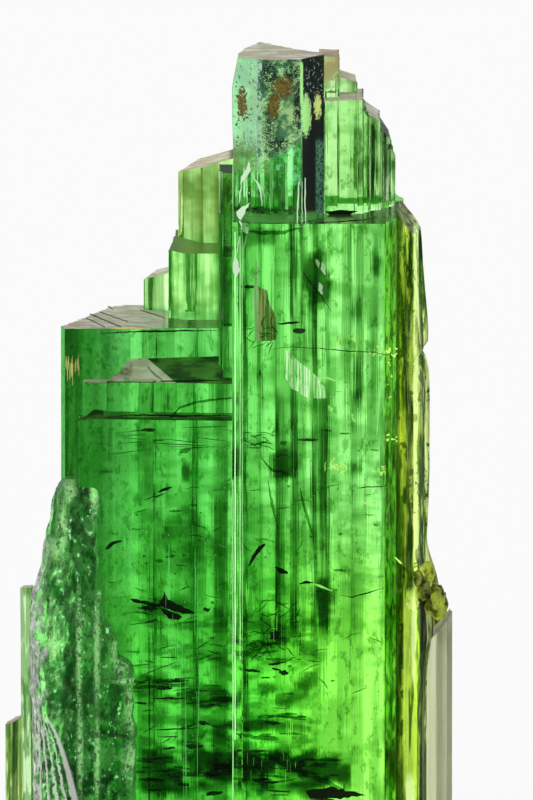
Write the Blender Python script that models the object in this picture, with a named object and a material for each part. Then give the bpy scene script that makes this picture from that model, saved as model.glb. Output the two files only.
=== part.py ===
"""A group of parallel green tourmaline crystals, grown together and cut off flat at the base.

The long axis of every crystal is +Z. The front, which the light shines through towards the
viewer, looks along -Y. The origin is the middle of the box's base, and lengths in the tables
below are millimetres.
"""

import bmesh
import bpy
from mathutils import Vector

MM = 0.001

# Driving dimensions
HALF_WIDTH = 11.24
HALF_DEPTH = 5.8
TIP_HEIGHT = 45.5
TRUNK_HEIGHT = 37.3
LEFT_PRISM_HEIGHT = 31.45
BELOW_THE_CUT = 2.0

# Slopes of the end faces: how far they rise for each millimetre across (x) and back (y)
FLAT = (0.0, 0.0)
FRONT_BEVEL = (0.0, 0.7)

# Each grown-together column: its outline seen from above, the height of its end face over the
# outline's first point, and that face's slope
COLUMNS = {
    "trunk": (
        [(0.75, -5.4), (3.6, -HALF_DEPTH), (5.8, -5.6), (7.7, -4.8), (8.6, -3.3), (9.2, -1.6), (9.3, 0.4),
         (9.0, 3.0), (7.4, 4.6), (4.6, HALF_DEPTH), (1.8, 5.5), (0.2, 4.2), (0.2, -3.5), (0.42, -4.8)],
        TRUNK_HEIGHT, FLAT),
    "tip": (
        [(1.04, -4.6), (3.8, -4.4), (4.7, -3.2), (4.3, -2.2), (3.5, -1.9), (1.54, 0.8), (0.54, -1.4), (0.25, -2.6)],
        TIP_HEIGHT, FLAT),
    "right_rim": (
        [(8.3, -3.0), (9.2, -2.5), (9.85, -1.2), (10.05, 0.6), (9.7, 2.2), (8.6, 3.2)],
        37.4, (-0.9, 0.0)),
    "shoulder_front": (
        [(3.9, -2.4), (6.8, -2.1), (7.0, 2.0), (3.9, 2.4)],
        43.1, FLAT),
    "shoulder_side": (
        [(6.2, -2.0), (7.45, -1.5), (7.4, 2.5), (6.2, 2.3)],
        42.4, FLAT),
    "shoulder_block": (
        [(3.9, -1.2), (5.5, -1.0), (5.5, 1.5), (3.9, 1.7)],
        45.0, FLAT),
    "shoulder_back": (
        [(5.0, 0.8), (6.4, 0.8), (6.3, 3.3), (5.0, 3.5)],
        43.75, FLAT),
    "shoulder_step": (
        [(7.0, -1.2), (8.1, -0.6), (8.0, 2.8), (6.6, 3.0)],
        41.8, (-0.5, 0.0)),
    "shoulder_end": (
        [(7.6, -0.6), (8.5, 0.5), (8.3, 3.0), (7.4, 3.2)],
        40.3, (-1.6, 0.0)),
    "rib": (
        [(-0.52, -2.7), (-0.3, -3.4), (0.9, -3.5), (0.9, -0.5), (-0.5, -0.5)],
        39.8, (0.0, 0.3)),
    "left_prism": (
        [(-8.2, -2.5), (0.6, -2.1), (0.6, 5.2), (-5.2, 5.5), (-6.0, 4.8), (-8.4, -1.7)],
        LEFT_PRISM_HEIGHT, FLAT),
    "left_step_upper": (
        [(-6.1, -3.7), (0.6, -3.9), (0.6, -1.6), (-4.2, -1.6)],
        29.0, FRONT_BEVEL),
    "left_step_lower": (
        [(-7.55, -4.4), (0.6, -4.6), (0.6, -3.0), (-6.2, -3.0)],
        27.2, FRONT_BEVEL),
    "middle_prism": (
        [(-2.2, 0.4), (0.6, 0.4), (0.6, 5.4), (-1.2, 5.6), (-2.7, 4.4), (-3.05, 1.0)],
        34.8, (0.0, 0.15)),
    "back_prism": (
        [(-1.3, 2.2), (0.8, 2.2), (0.8, 5.5), (-1.6, 5.7), (-2.55, 3.2)],
        38.9, (0.3, 0.0)),
    "small_back_prism": (
        [(-4.3, 3.7), (-2.4, 3.1), (-2.3, 5.4), (-3.7, 5.65)],
        33.0, (0.3, 0.0)),
    "left_ledge": (
        [(-8.9, -3.4), (-7.6, -4.4), (-5.9, -5.4), (-4.4, -5.0), (-3.6, -4.0), (-4.2, -2.0), (-8.5, -1.4)],
        23.4, (0.25, 0.35)),
    "right_rib": (
        [(8.5, -4.3), (9.3, -4.5), (9.8, -3.4), (9.85, 0.6), (8.6, 1.0)],
        18.3, (0.0, 0.1)),
}

# Chipped steps that widen the foot on the left: each step's left edge, front, back, height and
# the size of its broken corners
LEFT_CHIPS = [
    (-8.75, -4.1, 1.9, 22.6, 0.8),
    (-8.95, -3.8, 1.6, 21.0, 0.6),
    (-9.15, -3.5, 1.2, 19.2, 0.9),
    (-9.45, -3.2, 0.8, 17.9, 0.7),
    (-9.75, -2.7, 0.3, 16.8, 1.0),
]
CHIP_INNER_EDGE = -6.4
CHIP_SLOPE = (0.3, 0.1)

# The lump where the side crystal ends against the right rim
KNOT_MIDDLE = Vector((9.75, -1.9, 18.5))
KNOT_HALF_SIZE = Vector((0.85, 1.5, 1.1))

# Crystals that only lie against the group: outline, height over its first point, slope
SIDE_CRYSTALS = {
    "right_side_crystal": (
        [(10.2, -3.2), (10.9, -3.4), (HALF_WIDTH, -2.6), (11.15, -0.9), (10.4, -0.5), (10.2, -1.2)],
        15.9, (0.9, 0.0)),
    "left_needle_inner": (
        [(-10.45, 0.9), (-10.1, 0.65), (-9.8, 0.9), (-9.85, 1.4), (-10.3, 1.5)],
        17.8, (0.1, 0.0)),
    "left_needle_outer": (
        [(-HALF_WIDTH, -0.6), (-10.85, -1.0), (-10.4, -0.8), (-10.35, -0.1), (-10.7, 0.3), (-11.15, 0.1)],
        11.1, (0.4, 0.0)),
}

COLOURS = {
    "crystal_group": (0.07, 0.55, 0.10, 1.0),
    "right_side_crystal": (0.33, 0.38, 0.28, 1.0),
    "left_needle_inner": (0.20, 0.42, 0.18, 1.0),
    "left_needle_outer": (0.33, 0.45, 0.16, 1.0),
}
ROUGHNESS = 0.12


def clear_scene():
    for old in list(bpy.data.objects):
        bpy.data.objects.remove(old)


def stone_material(name):
    material = bpy.data.materials.new(name)
    material.use_nodes = True
    shader = material.node_tree.nodes["Principled BSDF"]
    shader.inputs["Base Color"].default_value = COLOURS[name]
    shader.inputs["Roughness"].default_value = ROUGHNESS
    shader.inputs["Metallic"].default_value = 0.0
    return material


def add_object(name, bm):
    bmesh.ops.recalc_face_normals(bm, faces=bm.faces)
    bmesh.ops.scale(bm, vec=(MM, MM, MM), verts=bm.verts)
    mesh = bpy.data.meshes.new(name)
    bm.to_mesh(mesh)
    bm.free()
    made = bpy.data.objects.new(name, mesh)
    bpy.context.scene.collection.objects.link(made)
    return made


def prism(name, outline, height, slope, bottom):
    """A closed column with upright sides and one sloping end face."""
    first_x, first_y = outline[0]
    bm = bmesh.new()
    low = [bm.verts.new((x, y, bottom)) for x, y in outline]
    high = [
        bm.verts.new((x, y, height + slope[0] * (x - first_x) + slope[1] * (y - first_y)))
        for x, y in outline
    ]
    bm.faces.new(reversed(low))
    bm.faces.new(high)
    for here in range(len(outline)):
        after = (here + 1) % len(outline)
        bm.faces.new((low[here], low[after], high[after], high[here]))
    return add_object(name, bm)


def chip_outline(left, front, back, corner):
    """A block's outline with its two left corners broken off."""
    return [
        (left, front + corner),
        (left + corner, front),
        (CHIP_INNER_EDGE, front),
        (CHIP_INNER_EDGE, back),
        (left + corner, back),
        (left, back - corner),
    ]


def knot():
    """A faceted lump, squashed to its own half sizes."""
    bm = bmesh.new()
    bmesh.ops.create_icosphere(bm, subdivisions=2, radius=1.0)
    bmesh.ops.scale(bm, vec=KNOT_HALF_SIZE, verts=bm.verts)
    bmesh.ops.translate(bm, vec=KNOT_MIDDLE, verts=bm.verts)
    return add_object("knot", bm)


def cutting_block():
    """Everything below the flat cut that the group stands on."""
    bm = bmesh.new()
    bmesh.ops.create_cube(bm, size=1.0)
    side = 4 * HALF_WIDTH
    depth = 4 * BELOW_THE_CUT
    bmesh.ops.scale(bm, vec=(side, side, depth), verts=bm.verts)
    bmesh.ops.translate(bm, vec=(0.0, 0.0, -depth / 2), verts=bm.verts)
    return add_object("cut_below_base", bm)


def hide_helper(helper):
    helper.hide_render = True
    helper.display_type = "WIRE"


def boolean(target, other, operation):
    step = target.modifiers.new(other.name, "BOOLEAN")
    step.operation = operation
    step.object = other
    hide_helper(other)


def crystal_group():
    """All the crystals that grew into each other, as one solid."""
    group = prism("crystal_group", *COLUMNS["trunk"], -BELOW_THE_CUT)
    for name, column in COLUMNS.items():
        if name != "trunk":
            boolean(group, prism(name, *column, -BELOW_THE_CUT), "UNION")
    for count, (left, front, back, height, corner) in enumerate(LEFT_CHIPS):
        outline = chip_outline(left, front, back, corner)
        chip = prism(f"left_chip_{count}", outline, height, CHIP_SLOPE, -BELOW_THE_CUT)
        boolean(group, chip, "UNION")
    boolean(group, knot(), "UNION")
    boolean(group, cutting_block(), "DIFFERENCE")
    return group


def main():
    clear_scene()
    pieces = [crystal_group()]
    for name, column in SIDE_CRYSTALS.items():
        pieces.append(prism(name, *column, 0.0))
    for piece in pieces:
        piece.data.materials.append(stone_material(piece.name))


main()
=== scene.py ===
"""Looks of the green tourmaline group: clear striated prisms, lit from behind on a pale floor."""

import math
import random

import bmesh
import bpy
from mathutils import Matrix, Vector, noise

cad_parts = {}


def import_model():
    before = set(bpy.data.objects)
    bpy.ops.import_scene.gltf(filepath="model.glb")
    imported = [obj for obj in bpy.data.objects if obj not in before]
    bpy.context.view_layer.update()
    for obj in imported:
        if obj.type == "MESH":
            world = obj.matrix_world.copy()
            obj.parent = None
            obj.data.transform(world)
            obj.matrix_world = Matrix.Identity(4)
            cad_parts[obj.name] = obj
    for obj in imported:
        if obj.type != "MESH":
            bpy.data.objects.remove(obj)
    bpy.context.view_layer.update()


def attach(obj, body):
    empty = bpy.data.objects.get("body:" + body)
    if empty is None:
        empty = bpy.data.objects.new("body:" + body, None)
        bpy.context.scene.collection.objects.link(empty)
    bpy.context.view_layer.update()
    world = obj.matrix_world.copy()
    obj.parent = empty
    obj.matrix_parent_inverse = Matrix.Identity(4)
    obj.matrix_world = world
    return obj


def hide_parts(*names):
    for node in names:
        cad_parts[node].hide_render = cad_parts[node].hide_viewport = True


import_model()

# Lengths below are millimetres, and the model is scaled to metres when each mesh is made
MM = 0.001

# The photograph's view: a long lens, looking slightly down
CAMERA_RISE = math.radians(9.0)
CAMERA_DISTANCE = 1200.0
LENS = 1080.0
SENSOR = 36.0
AIM = Vector((1.86, 0.0, 27.46))
PHOTO_WIDTH = 533
PHOTO_HEIGHT = 800
PIXEL = CAMERA_DISTANCE / LENS * SENSOR / PHOTO_HEIGHT

# The group
BELOW = -1.0
FLAT = (0.0, 0.0)
FRONT_BEVEL = (0.0, 0.7)
CRYSTAL_IOR = 1.63
FALL_INSIDE = math.tan(math.asin(math.sin(CAMERA_RISE) / CRYSTAL_IOR))
TRUNK_FRONT = -5.5
LEFT_FRONT = -4.5
TRUNK_TOP = 37.2
LEFT_TOP = 31.45
MIDDLE_TOP = 35.1
RIB_TOP = 39.45
# What a millimetre of the clear stone takes from red, green and blue
STONE_LOSS = (0.12, 0.015, 0.15)
# The deepest ridge next to a corner, for each millimetre from it
CORNER_SLOPE = 0.35
BOUNCES = 7


# Seen from the camera

def seen_at(column, row, depth):
    """The point at this depth (y) that the photograph shows at a column and a row of pixels."""
    across = (column - PHOTO_WIDTH / 2) / PHOTO_HEIGHT * SENSOR
    up = (PHOTO_HEIGHT / 2 - row) / PHOTO_HEIGHT * SENSOR
    sight = Vector((
        across,
        LENS * math.cos(CAMERA_RISE) + up * math.sin(CAMERA_RISE),
        up * math.cos(CAMERA_RISE) - LENS * math.sin(CAMERA_RISE),
    ))
    eye = AIM + Vector((0.0, -math.cos(CAMERA_RISE), math.sin(CAMERA_RISE))) * CAMERA_DISTANCE
    return eye + sight * ((depth - eye.y) / sight.y)


def inside(column, row, depth, front=TRUNK_FRONT):
    """The point behind a front face where the bent line of sight reaches a depth."""
    entry = seen_at(column, row, front)
    return Vector((entry.x, depth, entry.z - (depth - front) * FALL_INSIDE))


def on_face(column, row, height, first_y, rise):
    """The point that the photograph shows on an end face, which rises towards the back."""
    near = seen_at(column, row, first_y)
    far = seen_at(column, row, first_y + 1.0)
    return near + (far - near) * ((height - near.z) / (far.z - near.z - rise))


def edge_at(table, level):
    """Reads a table of (level, value) pairs, sorted by level, with straight lines in between."""
    if level <= table[0][0]:
        return table[0][1]
    for (low, start), (high, end) in zip(table, table[1:]):
        if level <= high:
            return start + (end - start) * (level - low) / (high - low)
    return table[-1][1]


def edge_table(points, depth):
    """Turns (column, row) points of a crystal's edge into sorted (z, x) pairs."""
    return sorted((seen_at(column, row, depth).z, seen_at(column, row, depth).x) for column, row in points)


# Making meshes

def new_object(name, bm):
    bmesh.ops.recalc_face_normals(bm, faces=bm.faces)
    bmesh.ops.scale(bm, vec=(MM, MM, MM), verts=bm.verts)
    mesh = bpy.data.meshes.new(name)
    bm.to_mesh(mesh)
    bm.free()
    made = bpy.data.objects.new(name, mesh)
    bpy.context.scene.collection.objects.link(made)
    return made


def ridged(start, end, depth, pitch, draw):
    """Points from start to just before end, with upright ridges pressed into the straight line."""
    start = Vector(start)
    run = Vector(end) - start
    along = run.normalized()
    out = Vector((along.y, -along.x))
    points = [start.to_tuple()]
    done = draw.uniform(*pitch)
    while done < run.length - pitch[0]:
        deepest = min(depth, CORNER_SLOPE * min(done, run.length - done))
        points.append((start + along * done - out * draw.uniform(0.0, deepest)).to_tuple())
        done += draw.uniform(*pitch)
    return points


def striated(outline, seed, smooth, front=(0.008, 0.1, 0.4), back=(0.13, 0.1, 0.42)):
    """The outline with fine upright ridges: shallow where it faces the viewer, deep behind."""
    draw = random.Random(seed)
    points = []
    for count, (here, after) in enumerate(zip(outline, outline[1:] + outline[:1])):
        along = (Vector(after) - Vector(here)).normalized()
        depth, narrow, wide = front if along.x > 0.5 else back
        if count == smooth:
            points.append(here)
        else:
            points += ridged(here, after, depth, (narrow, wide), draw)
    return points


def prism(name, outline, height, slope=FLAT, bottom=BELOW):
    first_x, first_y = outline[0]
    bm = bmesh.new()
    low = [bm.verts.new((x, y, bottom)) for x, y in outline]
    high = [
        bm.verts.new((x, y, height + slope[0] * (x - first_x) + slope[1] * (y - first_y)))
        for x, y in outline
    ]
    bm.faces.new(reversed(low))
    bm.faces.new(high)
    for here in range(len(outline)):
        after = (here + 1) % len(outline)
        bm.faces.new((low[here], low[after], high[after], high[here]))
    return new_object(name, bm)


def block(name, low, high):
    bm = bmesh.new()
    bmesh.ops.create_cube(bm, size=1.0)
    bmesh.ops.scale(bm, vec=[b - a for a, b in zip(low, high)], verts=bm.verts)
    bmesh.ops.translate(bm, vec=[(a + b) / 2 for a, b in zip(low, high)], verts=bm.verts)
    return new_object(name, bm)


def below(level):
    """Everything under a level, as a cutter."""
    return block("below", (-30, -30, -20), (30, 30, level))


def lump(name, centre, half_size, seed, relief=0.18, grain=1.6):
    """A closed rounded body with a broken, knobbly surface."""
    bm = bmesh.new()
    bmesh.ops.create_icosphere(bm, subdivisions=4, radius=1.0)
    for vertex in bm.verts:
        place = Vector(vertex.co) * grain + Vector((seed, 0.0, 0.0))
        swell = 1.0 + relief * noise.noise(place) + relief * 0.5 * noise.noise(place * 2.7)
        vertex.co = [c + h * v * swell for c, h, v in zip(centre, half_size, vertex.co)]
    return new_object(name, bm)


def rough_column(name, left, right, front, back, levels, around, relief, seed):
    """A closed upright mass between edges that change with height, with a chipped surface."""
    bm = bmesh.new()
    rings = []
    top = levels[-1]
    for level in levels:
        x_left = edge_at(left, level)
        x_right = edge_at(right, level)
        y_front = edge_at(front, level)
        y_back = edge_at(back, level)
        middle = Vector(((x_left + x_right) / 2, (y_front + y_back) / 2, level))
        half = ((x_right - x_left) / 2, (y_back - y_front) / 2)
        ring = []
        for step in range(around):
            turn = 2 * math.pi * step / around
            over = Vector((math.cos(turn), math.sin(turn)))
            square = (abs(over.x) ** 5 + abs(over.y) ** 5) ** -0.2
            place = middle + Vector((over.x * half[0] * square, over.y * half[1] * square, 0.0))
            upright = noise.noise(Vector((place.x * 1.5 + seed, place.y * 1.5, place.z * 0.22)))
            chipped = noise.noise(Vector((place.x * 1.1, place.y * 1.1 + seed, place.z * 0.9)))
            fine = noise.noise(Vector((place.x * 3.7, place.y * 3.7 + seed, place.z * 1.6)))
            push = relief * (upright + 0.8 * abs(chipped) + 0.15 * fine - 0.5)
            fade = min(1.0, (top - level) / 1.5)
            place += Vector((over.x, over.y, 0.0)) * push * fade
            if level > 0.0:
                place.z += 0.4 * fade * noise.noise(Vector((place.x * 0.9, place.y, seed)))
            ring.append(bm.verts.new(place))
        rings.append(ring)
    for low, high in zip(rings, rings[1:]):
        for step in range(around):
            after = (step + 1) % around
            bm.faces.new((low[step], low[after], high[after], high[step]))
    bm.faces.new(reversed(rings[0]))
    bm.faces.new(rings[-1])
    return new_object(name, bm)


def combine(target, others, operation="UNION"):
    for other in others:
        step = target.modifiers.new(other.name, "BOOLEAN")
        step.operation = operation
        step.object = other
    graph = bpy.context.evaluated_depsgraph_get()
    mesh = bpy.data.meshes.new_from_object(target.evaluated_get(graph))
    target.modifiers.clear()
    target.data = mesh
    for other in others:
        bpy.data.objects.remove(other)
    return target


def weathered(piece, front=0.003, back=0.04, step=1.3, stretch=4.0):
    """Cuts the upright strips into lengths and shifts them a little, more at the back."""
    bm = bmesh.new()
    bm.from_mesh(piece.data)
    lowest = min(v.co.z for v in bm.verts)
    highest = max(v.co.z for v in bm.verts)
    level = lowest + step * MM
    while level < highest - step * MM / 2:
        geometry = bm.verts[:] + bm.edges[:] + bm.faces[:]
        bmesh.ops.bisect_plane(bm, geom=geometry, plane_co=(0, 0, level), plane_no=(0, 0, 1))
        level += step * MM
    for vertex in bm.verts:
        place = vertex.co / MM
        reach = front + (back - front) * min(max((place.y + 3.0) / 5.0, 0.0), 1.0)
        shift = noise.noise_vector(Vector((place.x * 2.0, place.y * 2.0, place.z / stretch)))
        vertex.co.x += shift.x * reach * MM
        vertex.co.y += shift.y * reach * MM
    bm.to_mesh(piece.data)
    bm.free()
    return piece


def follow_edge(piece, inner, edge, side):
    """Stretches what lies outside x = inner so that its outline keeps to an edge table."""
    outermost = max(side * v.co.x for v in piece.data.vertices) / MM
    for vertex in piece.data.vertices:
        place = vertex.co / MM
        out = side * (place.x - inner)
        if out > 0.0:
            goal = side * (edge_at(edge, place.z) - inner)
            vertex.co.x = (inner + side * out / (outermost - side * inner) * goal) * MM


def show(piece, material, node="crystal_group"):
    piece.data.materials.clear()
    piece.data.materials.append(material)
    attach(piece, "root")
    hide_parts(node)


def build_group(name, columns, seed, cutters=(), base=0.0, step=1.3, back=0.04):
    """Joins columns into one closed mesh, cut off flat at the base and by any other cutters."""
    parts = []
    for count, (part, (outline, height, slope)) in enumerate(columns.items()):
        parts.append(prism(part, striated(outline, seed + count, SMOOTH_SIDES.get(part)), height, slope))
    group = parts[0]
    if parts[1:]:
        group = combine(group, parts[1:])
    group = combine(group, [below(base), *cutters], "DIFFERENCE")
    group.name = name
    return weathered(group, step=step, back=back)


# Flaws sealed in the stone or lying on it, placed by the photograph's columns and rows

class Flaws:
    """Many small closed bodies, kept in one mesh."""

    def __init__(self, name, seed, front=TRUNK_FRONT):
        self.name = name
        self.bm = bmesh.new()
        self.draw = random.Random(seed)
        self.front = front

    def close(self, fore, rear):
        """Makes a closed body from two equal loops of points."""
        first = [self.bm.verts.new(point) for point in fore]
        second = [self.bm.verts.new(point) for point in rear]
        self.bm.faces.new(first)
        self.bm.faces.new(reversed(second))
        for here in range(len(first)):
            after = (here + 1) % len(first)
            self.bm.faces.new((first[after], first[here], second[here], second[after]))

    def plate(self, points, depth, thickness=0.03):
        """A thin upright plate that faces the viewer."""
        fore = [inside(column, row, depth, self.front) for column, row in points]
        back = Vector((0.0, thickness, 0.0))
        self.close(fore, [point + back for point in fore])

    def leaf(self, column, row, depth, half_width, half_depth, lean=0.0, tip=0.0, ragged=0.25):
        """A thin crack that lies nearly flat. It leans sideways, and tips towards the viewer."""
        middle = inside(column, row, depth, self.front)
        half_width *= PIXEL
        points = []
        count = 16
        for step in range(count):
            turn = 2 * math.pi * step / count
            reach = self.draw.uniform(1.0 - ragged, 1.0)
            over = math.cos(turn) * half_width * reach
            away = math.sin(turn) * half_depth * reach
            points.append(middle + Vector((over, away, over * lean + away * tip)))
        up = Vector((0.0, 0.0, 0.025))
        self.close(points, [point + up for point in points])

    def wander(self, points, waver, step=4.0):
        """A line through the points, cut into steps of some pixels that stray a little."""
        line = []
        for (column, row), (next_column, next_row) in zip(points, points[1:]):
            run = math.hypot(next_column - column, next_row - row)
            parts = max(1, int(run / step)) if waver else 1
            for part in range(parts):
                share = part / parts
                line.append((
                    column + (next_column - column) * share + self.draw.uniform(-waver, waver),
                    row + (next_row - row) * share + self.draw.uniform(-waver, waver)))
        return line

    def torn(self, points, depth, waver=1.5, step=4.0):
        """A thin upright plate with a broken edge."""
        self.plate(self.wander(points + points[:1], waver, step), depth)

    def trace(self, points, depth, width, waver=0.0, taper=0.8):
        """A crack through points of the photograph, thin at its ends. Its width is in pixels."""
        line = self.wander(points, waver) + [points[-1]]
        loops = []
        for count, (column, row) in enumerate(line):
            before = line[max(count - 1, 0)]
            after = line[min(count + 1, len(line) - 1)]
            run = Vector((after[0] - before[0], after[1] - before[1])).normalized()
            fullness = 1.0 - taper + taper * math.sin(math.pi * (count + 0.15) / (len(line) - 0.7))
            half = width / 2 * fullness * self.draw.uniform(0.6, 1.0)
            side = Vector((-run.y, run.x)) * half
            here = inside(column, row, depth, self.front)
            edge = inside(column + side.x, row + side.y, depth, self.front) - here
            back = Vector((0.0, half * PIXEL, 0.0))
            loops.append([self.bm.verts.new(here + offset) for offset in (edge, back, -edge, -back)])
        for first, second in zip(loops, loops[1:]):
            for corner in range(4):
                after = (corner + 1) % 4
                self.bm.faces.new((first[corner], first[after], second[after], second[corner]))
        self.bm.faces.new(reversed(loops[0]))
        self.bm.faces.new(loops[-1])

    def mark(self, start, end, width, height):
        """A thin line lying on a flat end face, between two points of the photograph."""
        first = on_face(*start, height, 0.0, 0.0)
        last = on_face(*end, height, 0.0, 0.0)
        side = Vector((0.0, width / 2 * PIXEL / math.sin(CAMERA_RISE), 0.0))
        up = Vector((0.0, 0.0, 0.02))
        loop = [first - side, last - side, last + side, first + side]
        self.close([point - up for point in loop], [point + up for point in loop])

    def speck(self, column, row, depth, size, tall=1.0):
        """A small broken flake. Its half width is in pixels."""
        points = []
        for step in range(6):
            turn = math.pi * step / 3
            reach = size * self.draw.uniform(0.35, 1.15)
            points.append((column + math.cos(turn) * reach, row + math.sin(turn) * reach * tall))
        self.plate(points, depth, 0.02)

    def specks(self, count, columns, rows, depths, sizes, tall=1.0):
        for _ in range(count):
            self.speck(
                self.draw.uniform(*columns), self.draw.uniform(*rows), self.draw.uniform(*depths),
                self.draw.uniform(*sizes), tall)

    def leaves(self, count, columns, rows, depths, widths, half_depth):
        for _ in range(count):
            self.leaf(
                self.draw.uniform(*columns), self.draw.uniform(*rows), self.draw.uniform(*depths),
                self.draw.uniform(*widths), self.draw.uniform(0.4, 1.0) * half_depth,
                self.draw.uniform(-0.15, 0.15), self.draw.uniform(-0.1, 0.1), 0.5)

    def needles(self, count, columns, rows, depths, lengths, width):
        for _ in range(count):
            column = self.draw.uniform(*columns)
            row = self.draw.uniform(*rows)
            drift = self.draw.uniform(-0.6, 0.6)
            middle = row + self.draw.uniform(*lengths) / 2
            self.trace(
                [(column, row), (column + drift, middle), (column + drift, 2 * middle - row)],
                self.draw.uniform(*depths), self.draw.uniform(0.5, 1.0) * width)

    def lace(self, count, columns, rows, depths, length, width, flat=0.5):
        """Fine forking cracks that wander, mostly sideways when flat is near zero."""
        for _ in range(count):
            column = self.draw.uniform(*columns)
            row = self.draw.uniform(*rows)
            depth = self.draw.uniform(*depths)
            turn = self.draw.uniform(-1.2, 1.2) * flat + self.draw.choice((0.0, math.pi))
            points = [(column, row)]
            for _ in range(self.draw.randint(3, 6)):
                turn += self.draw.uniform(-0.8, 0.8) * flat
                column = min(max(column + math.cos(turn) * length, columns[0]), columns[1])
                row += math.sin(turn) * length
                points.append((column, row))
            self.trace(points, depth, width)

    def finish(self, material):
        show(new_object(self.name, self.bm), material)


# Materials

class Nodes:
    """A node tree, filled by short calls."""

    def __init__(self, tree):
        self.tree = tree

    def source(self, kind, output):
        """An output of a new node that takes no input."""
        return self.tree.nodes.new(kind).outputs[output]

    def feed(self, socket, value):
        if isinstance(value, bpy.types.NodeSocket):
            self.tree.links.new(value, socket)
        elif isinstance(value, tuple) and len(value) == 3 and socket.type == "RGBA":
            socket.default_value = (*value, 1.0)
        else:
            socket.default_value = value

    def split(self, vector):
        node = self.tree.nodes.new("ShaderNodeSeparateXYZ")
        self.tree.links.new(vector, node.inputs[0])
        return node.outputs

    def vector(self, operation, *values):
        node = self.tree.nodes.new("ShaderNodeVectorMath")
        node.operation = operation
        for socket, value in zip(node.inputs, values):
            self.feed(socket, value)
        return node.outputs["Value" if operation == "DOT_PRODUCT" else "Vector"]

    def math(self, operation, *values):
        node = self.tree.nodes.new("ShaderNodeMath")
        node.operation = operation
        for socket, value in zip(node.inputs, values):
            self.feed(socket, value)
        return node.outputs[0]

    def product(self, *values):
        result = values[0]
        for value in values[1:]:
            result = self.math("MULTIPLY", result, value)
        return result

    def most(self, *values):
        result = values[0]
        for value in values[1:]:
            result = self.math("MAXIMUM", result, value)
        return result

    def less(self, value, share):
        """What a mask leaves: one where it is nothing, and 1 - share where it is full."""
        return self.math("MULTIPLY_ADD", value, -share, 1.0)

    def between(self, value, low, high, start=0.0, end=1.0):
        """Goes smoothly from start to end while value goes from low to high."""
        node = self.tree.nodes.new("ShaderNodeMapRange")
        node.interpolation_type = "SMOOTHSTEP"
        if low > high:
            low, high, start, end = high, low, end, start
        self.feed(node.inputs["Value"], value)
        node.inputs["From Min"].default_value = low
        node.inputs["From Max"].default_value = high
        node.inputs["To Min"].default_value = start
        node.inputs["To Max"].default_value = end
        return node.outputs["Result"]

    def mix(self, share, first, second, how="MIX"):
        node = self.tree.nodes.new("ShaderNodeMix")
        node.data_type = "RGBA"
        node.blend_type = how
        self.feed(node.inputs[0], share)
        self.feed(node.inputs[6], first)
        self.feed(node.inputs[7], second)
        return node.outputs[2]

    def blend(self, share, first, second):
        """A mix of two plain values."""
        node = self.tree.nodes.new("ShaderNodeMix")
        self.feed(node.inputs[0], share)
        self.feed(node.inputs[2], first)
        self.feed(node.inputs[3], second)
        return node.outputs[0]


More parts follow.
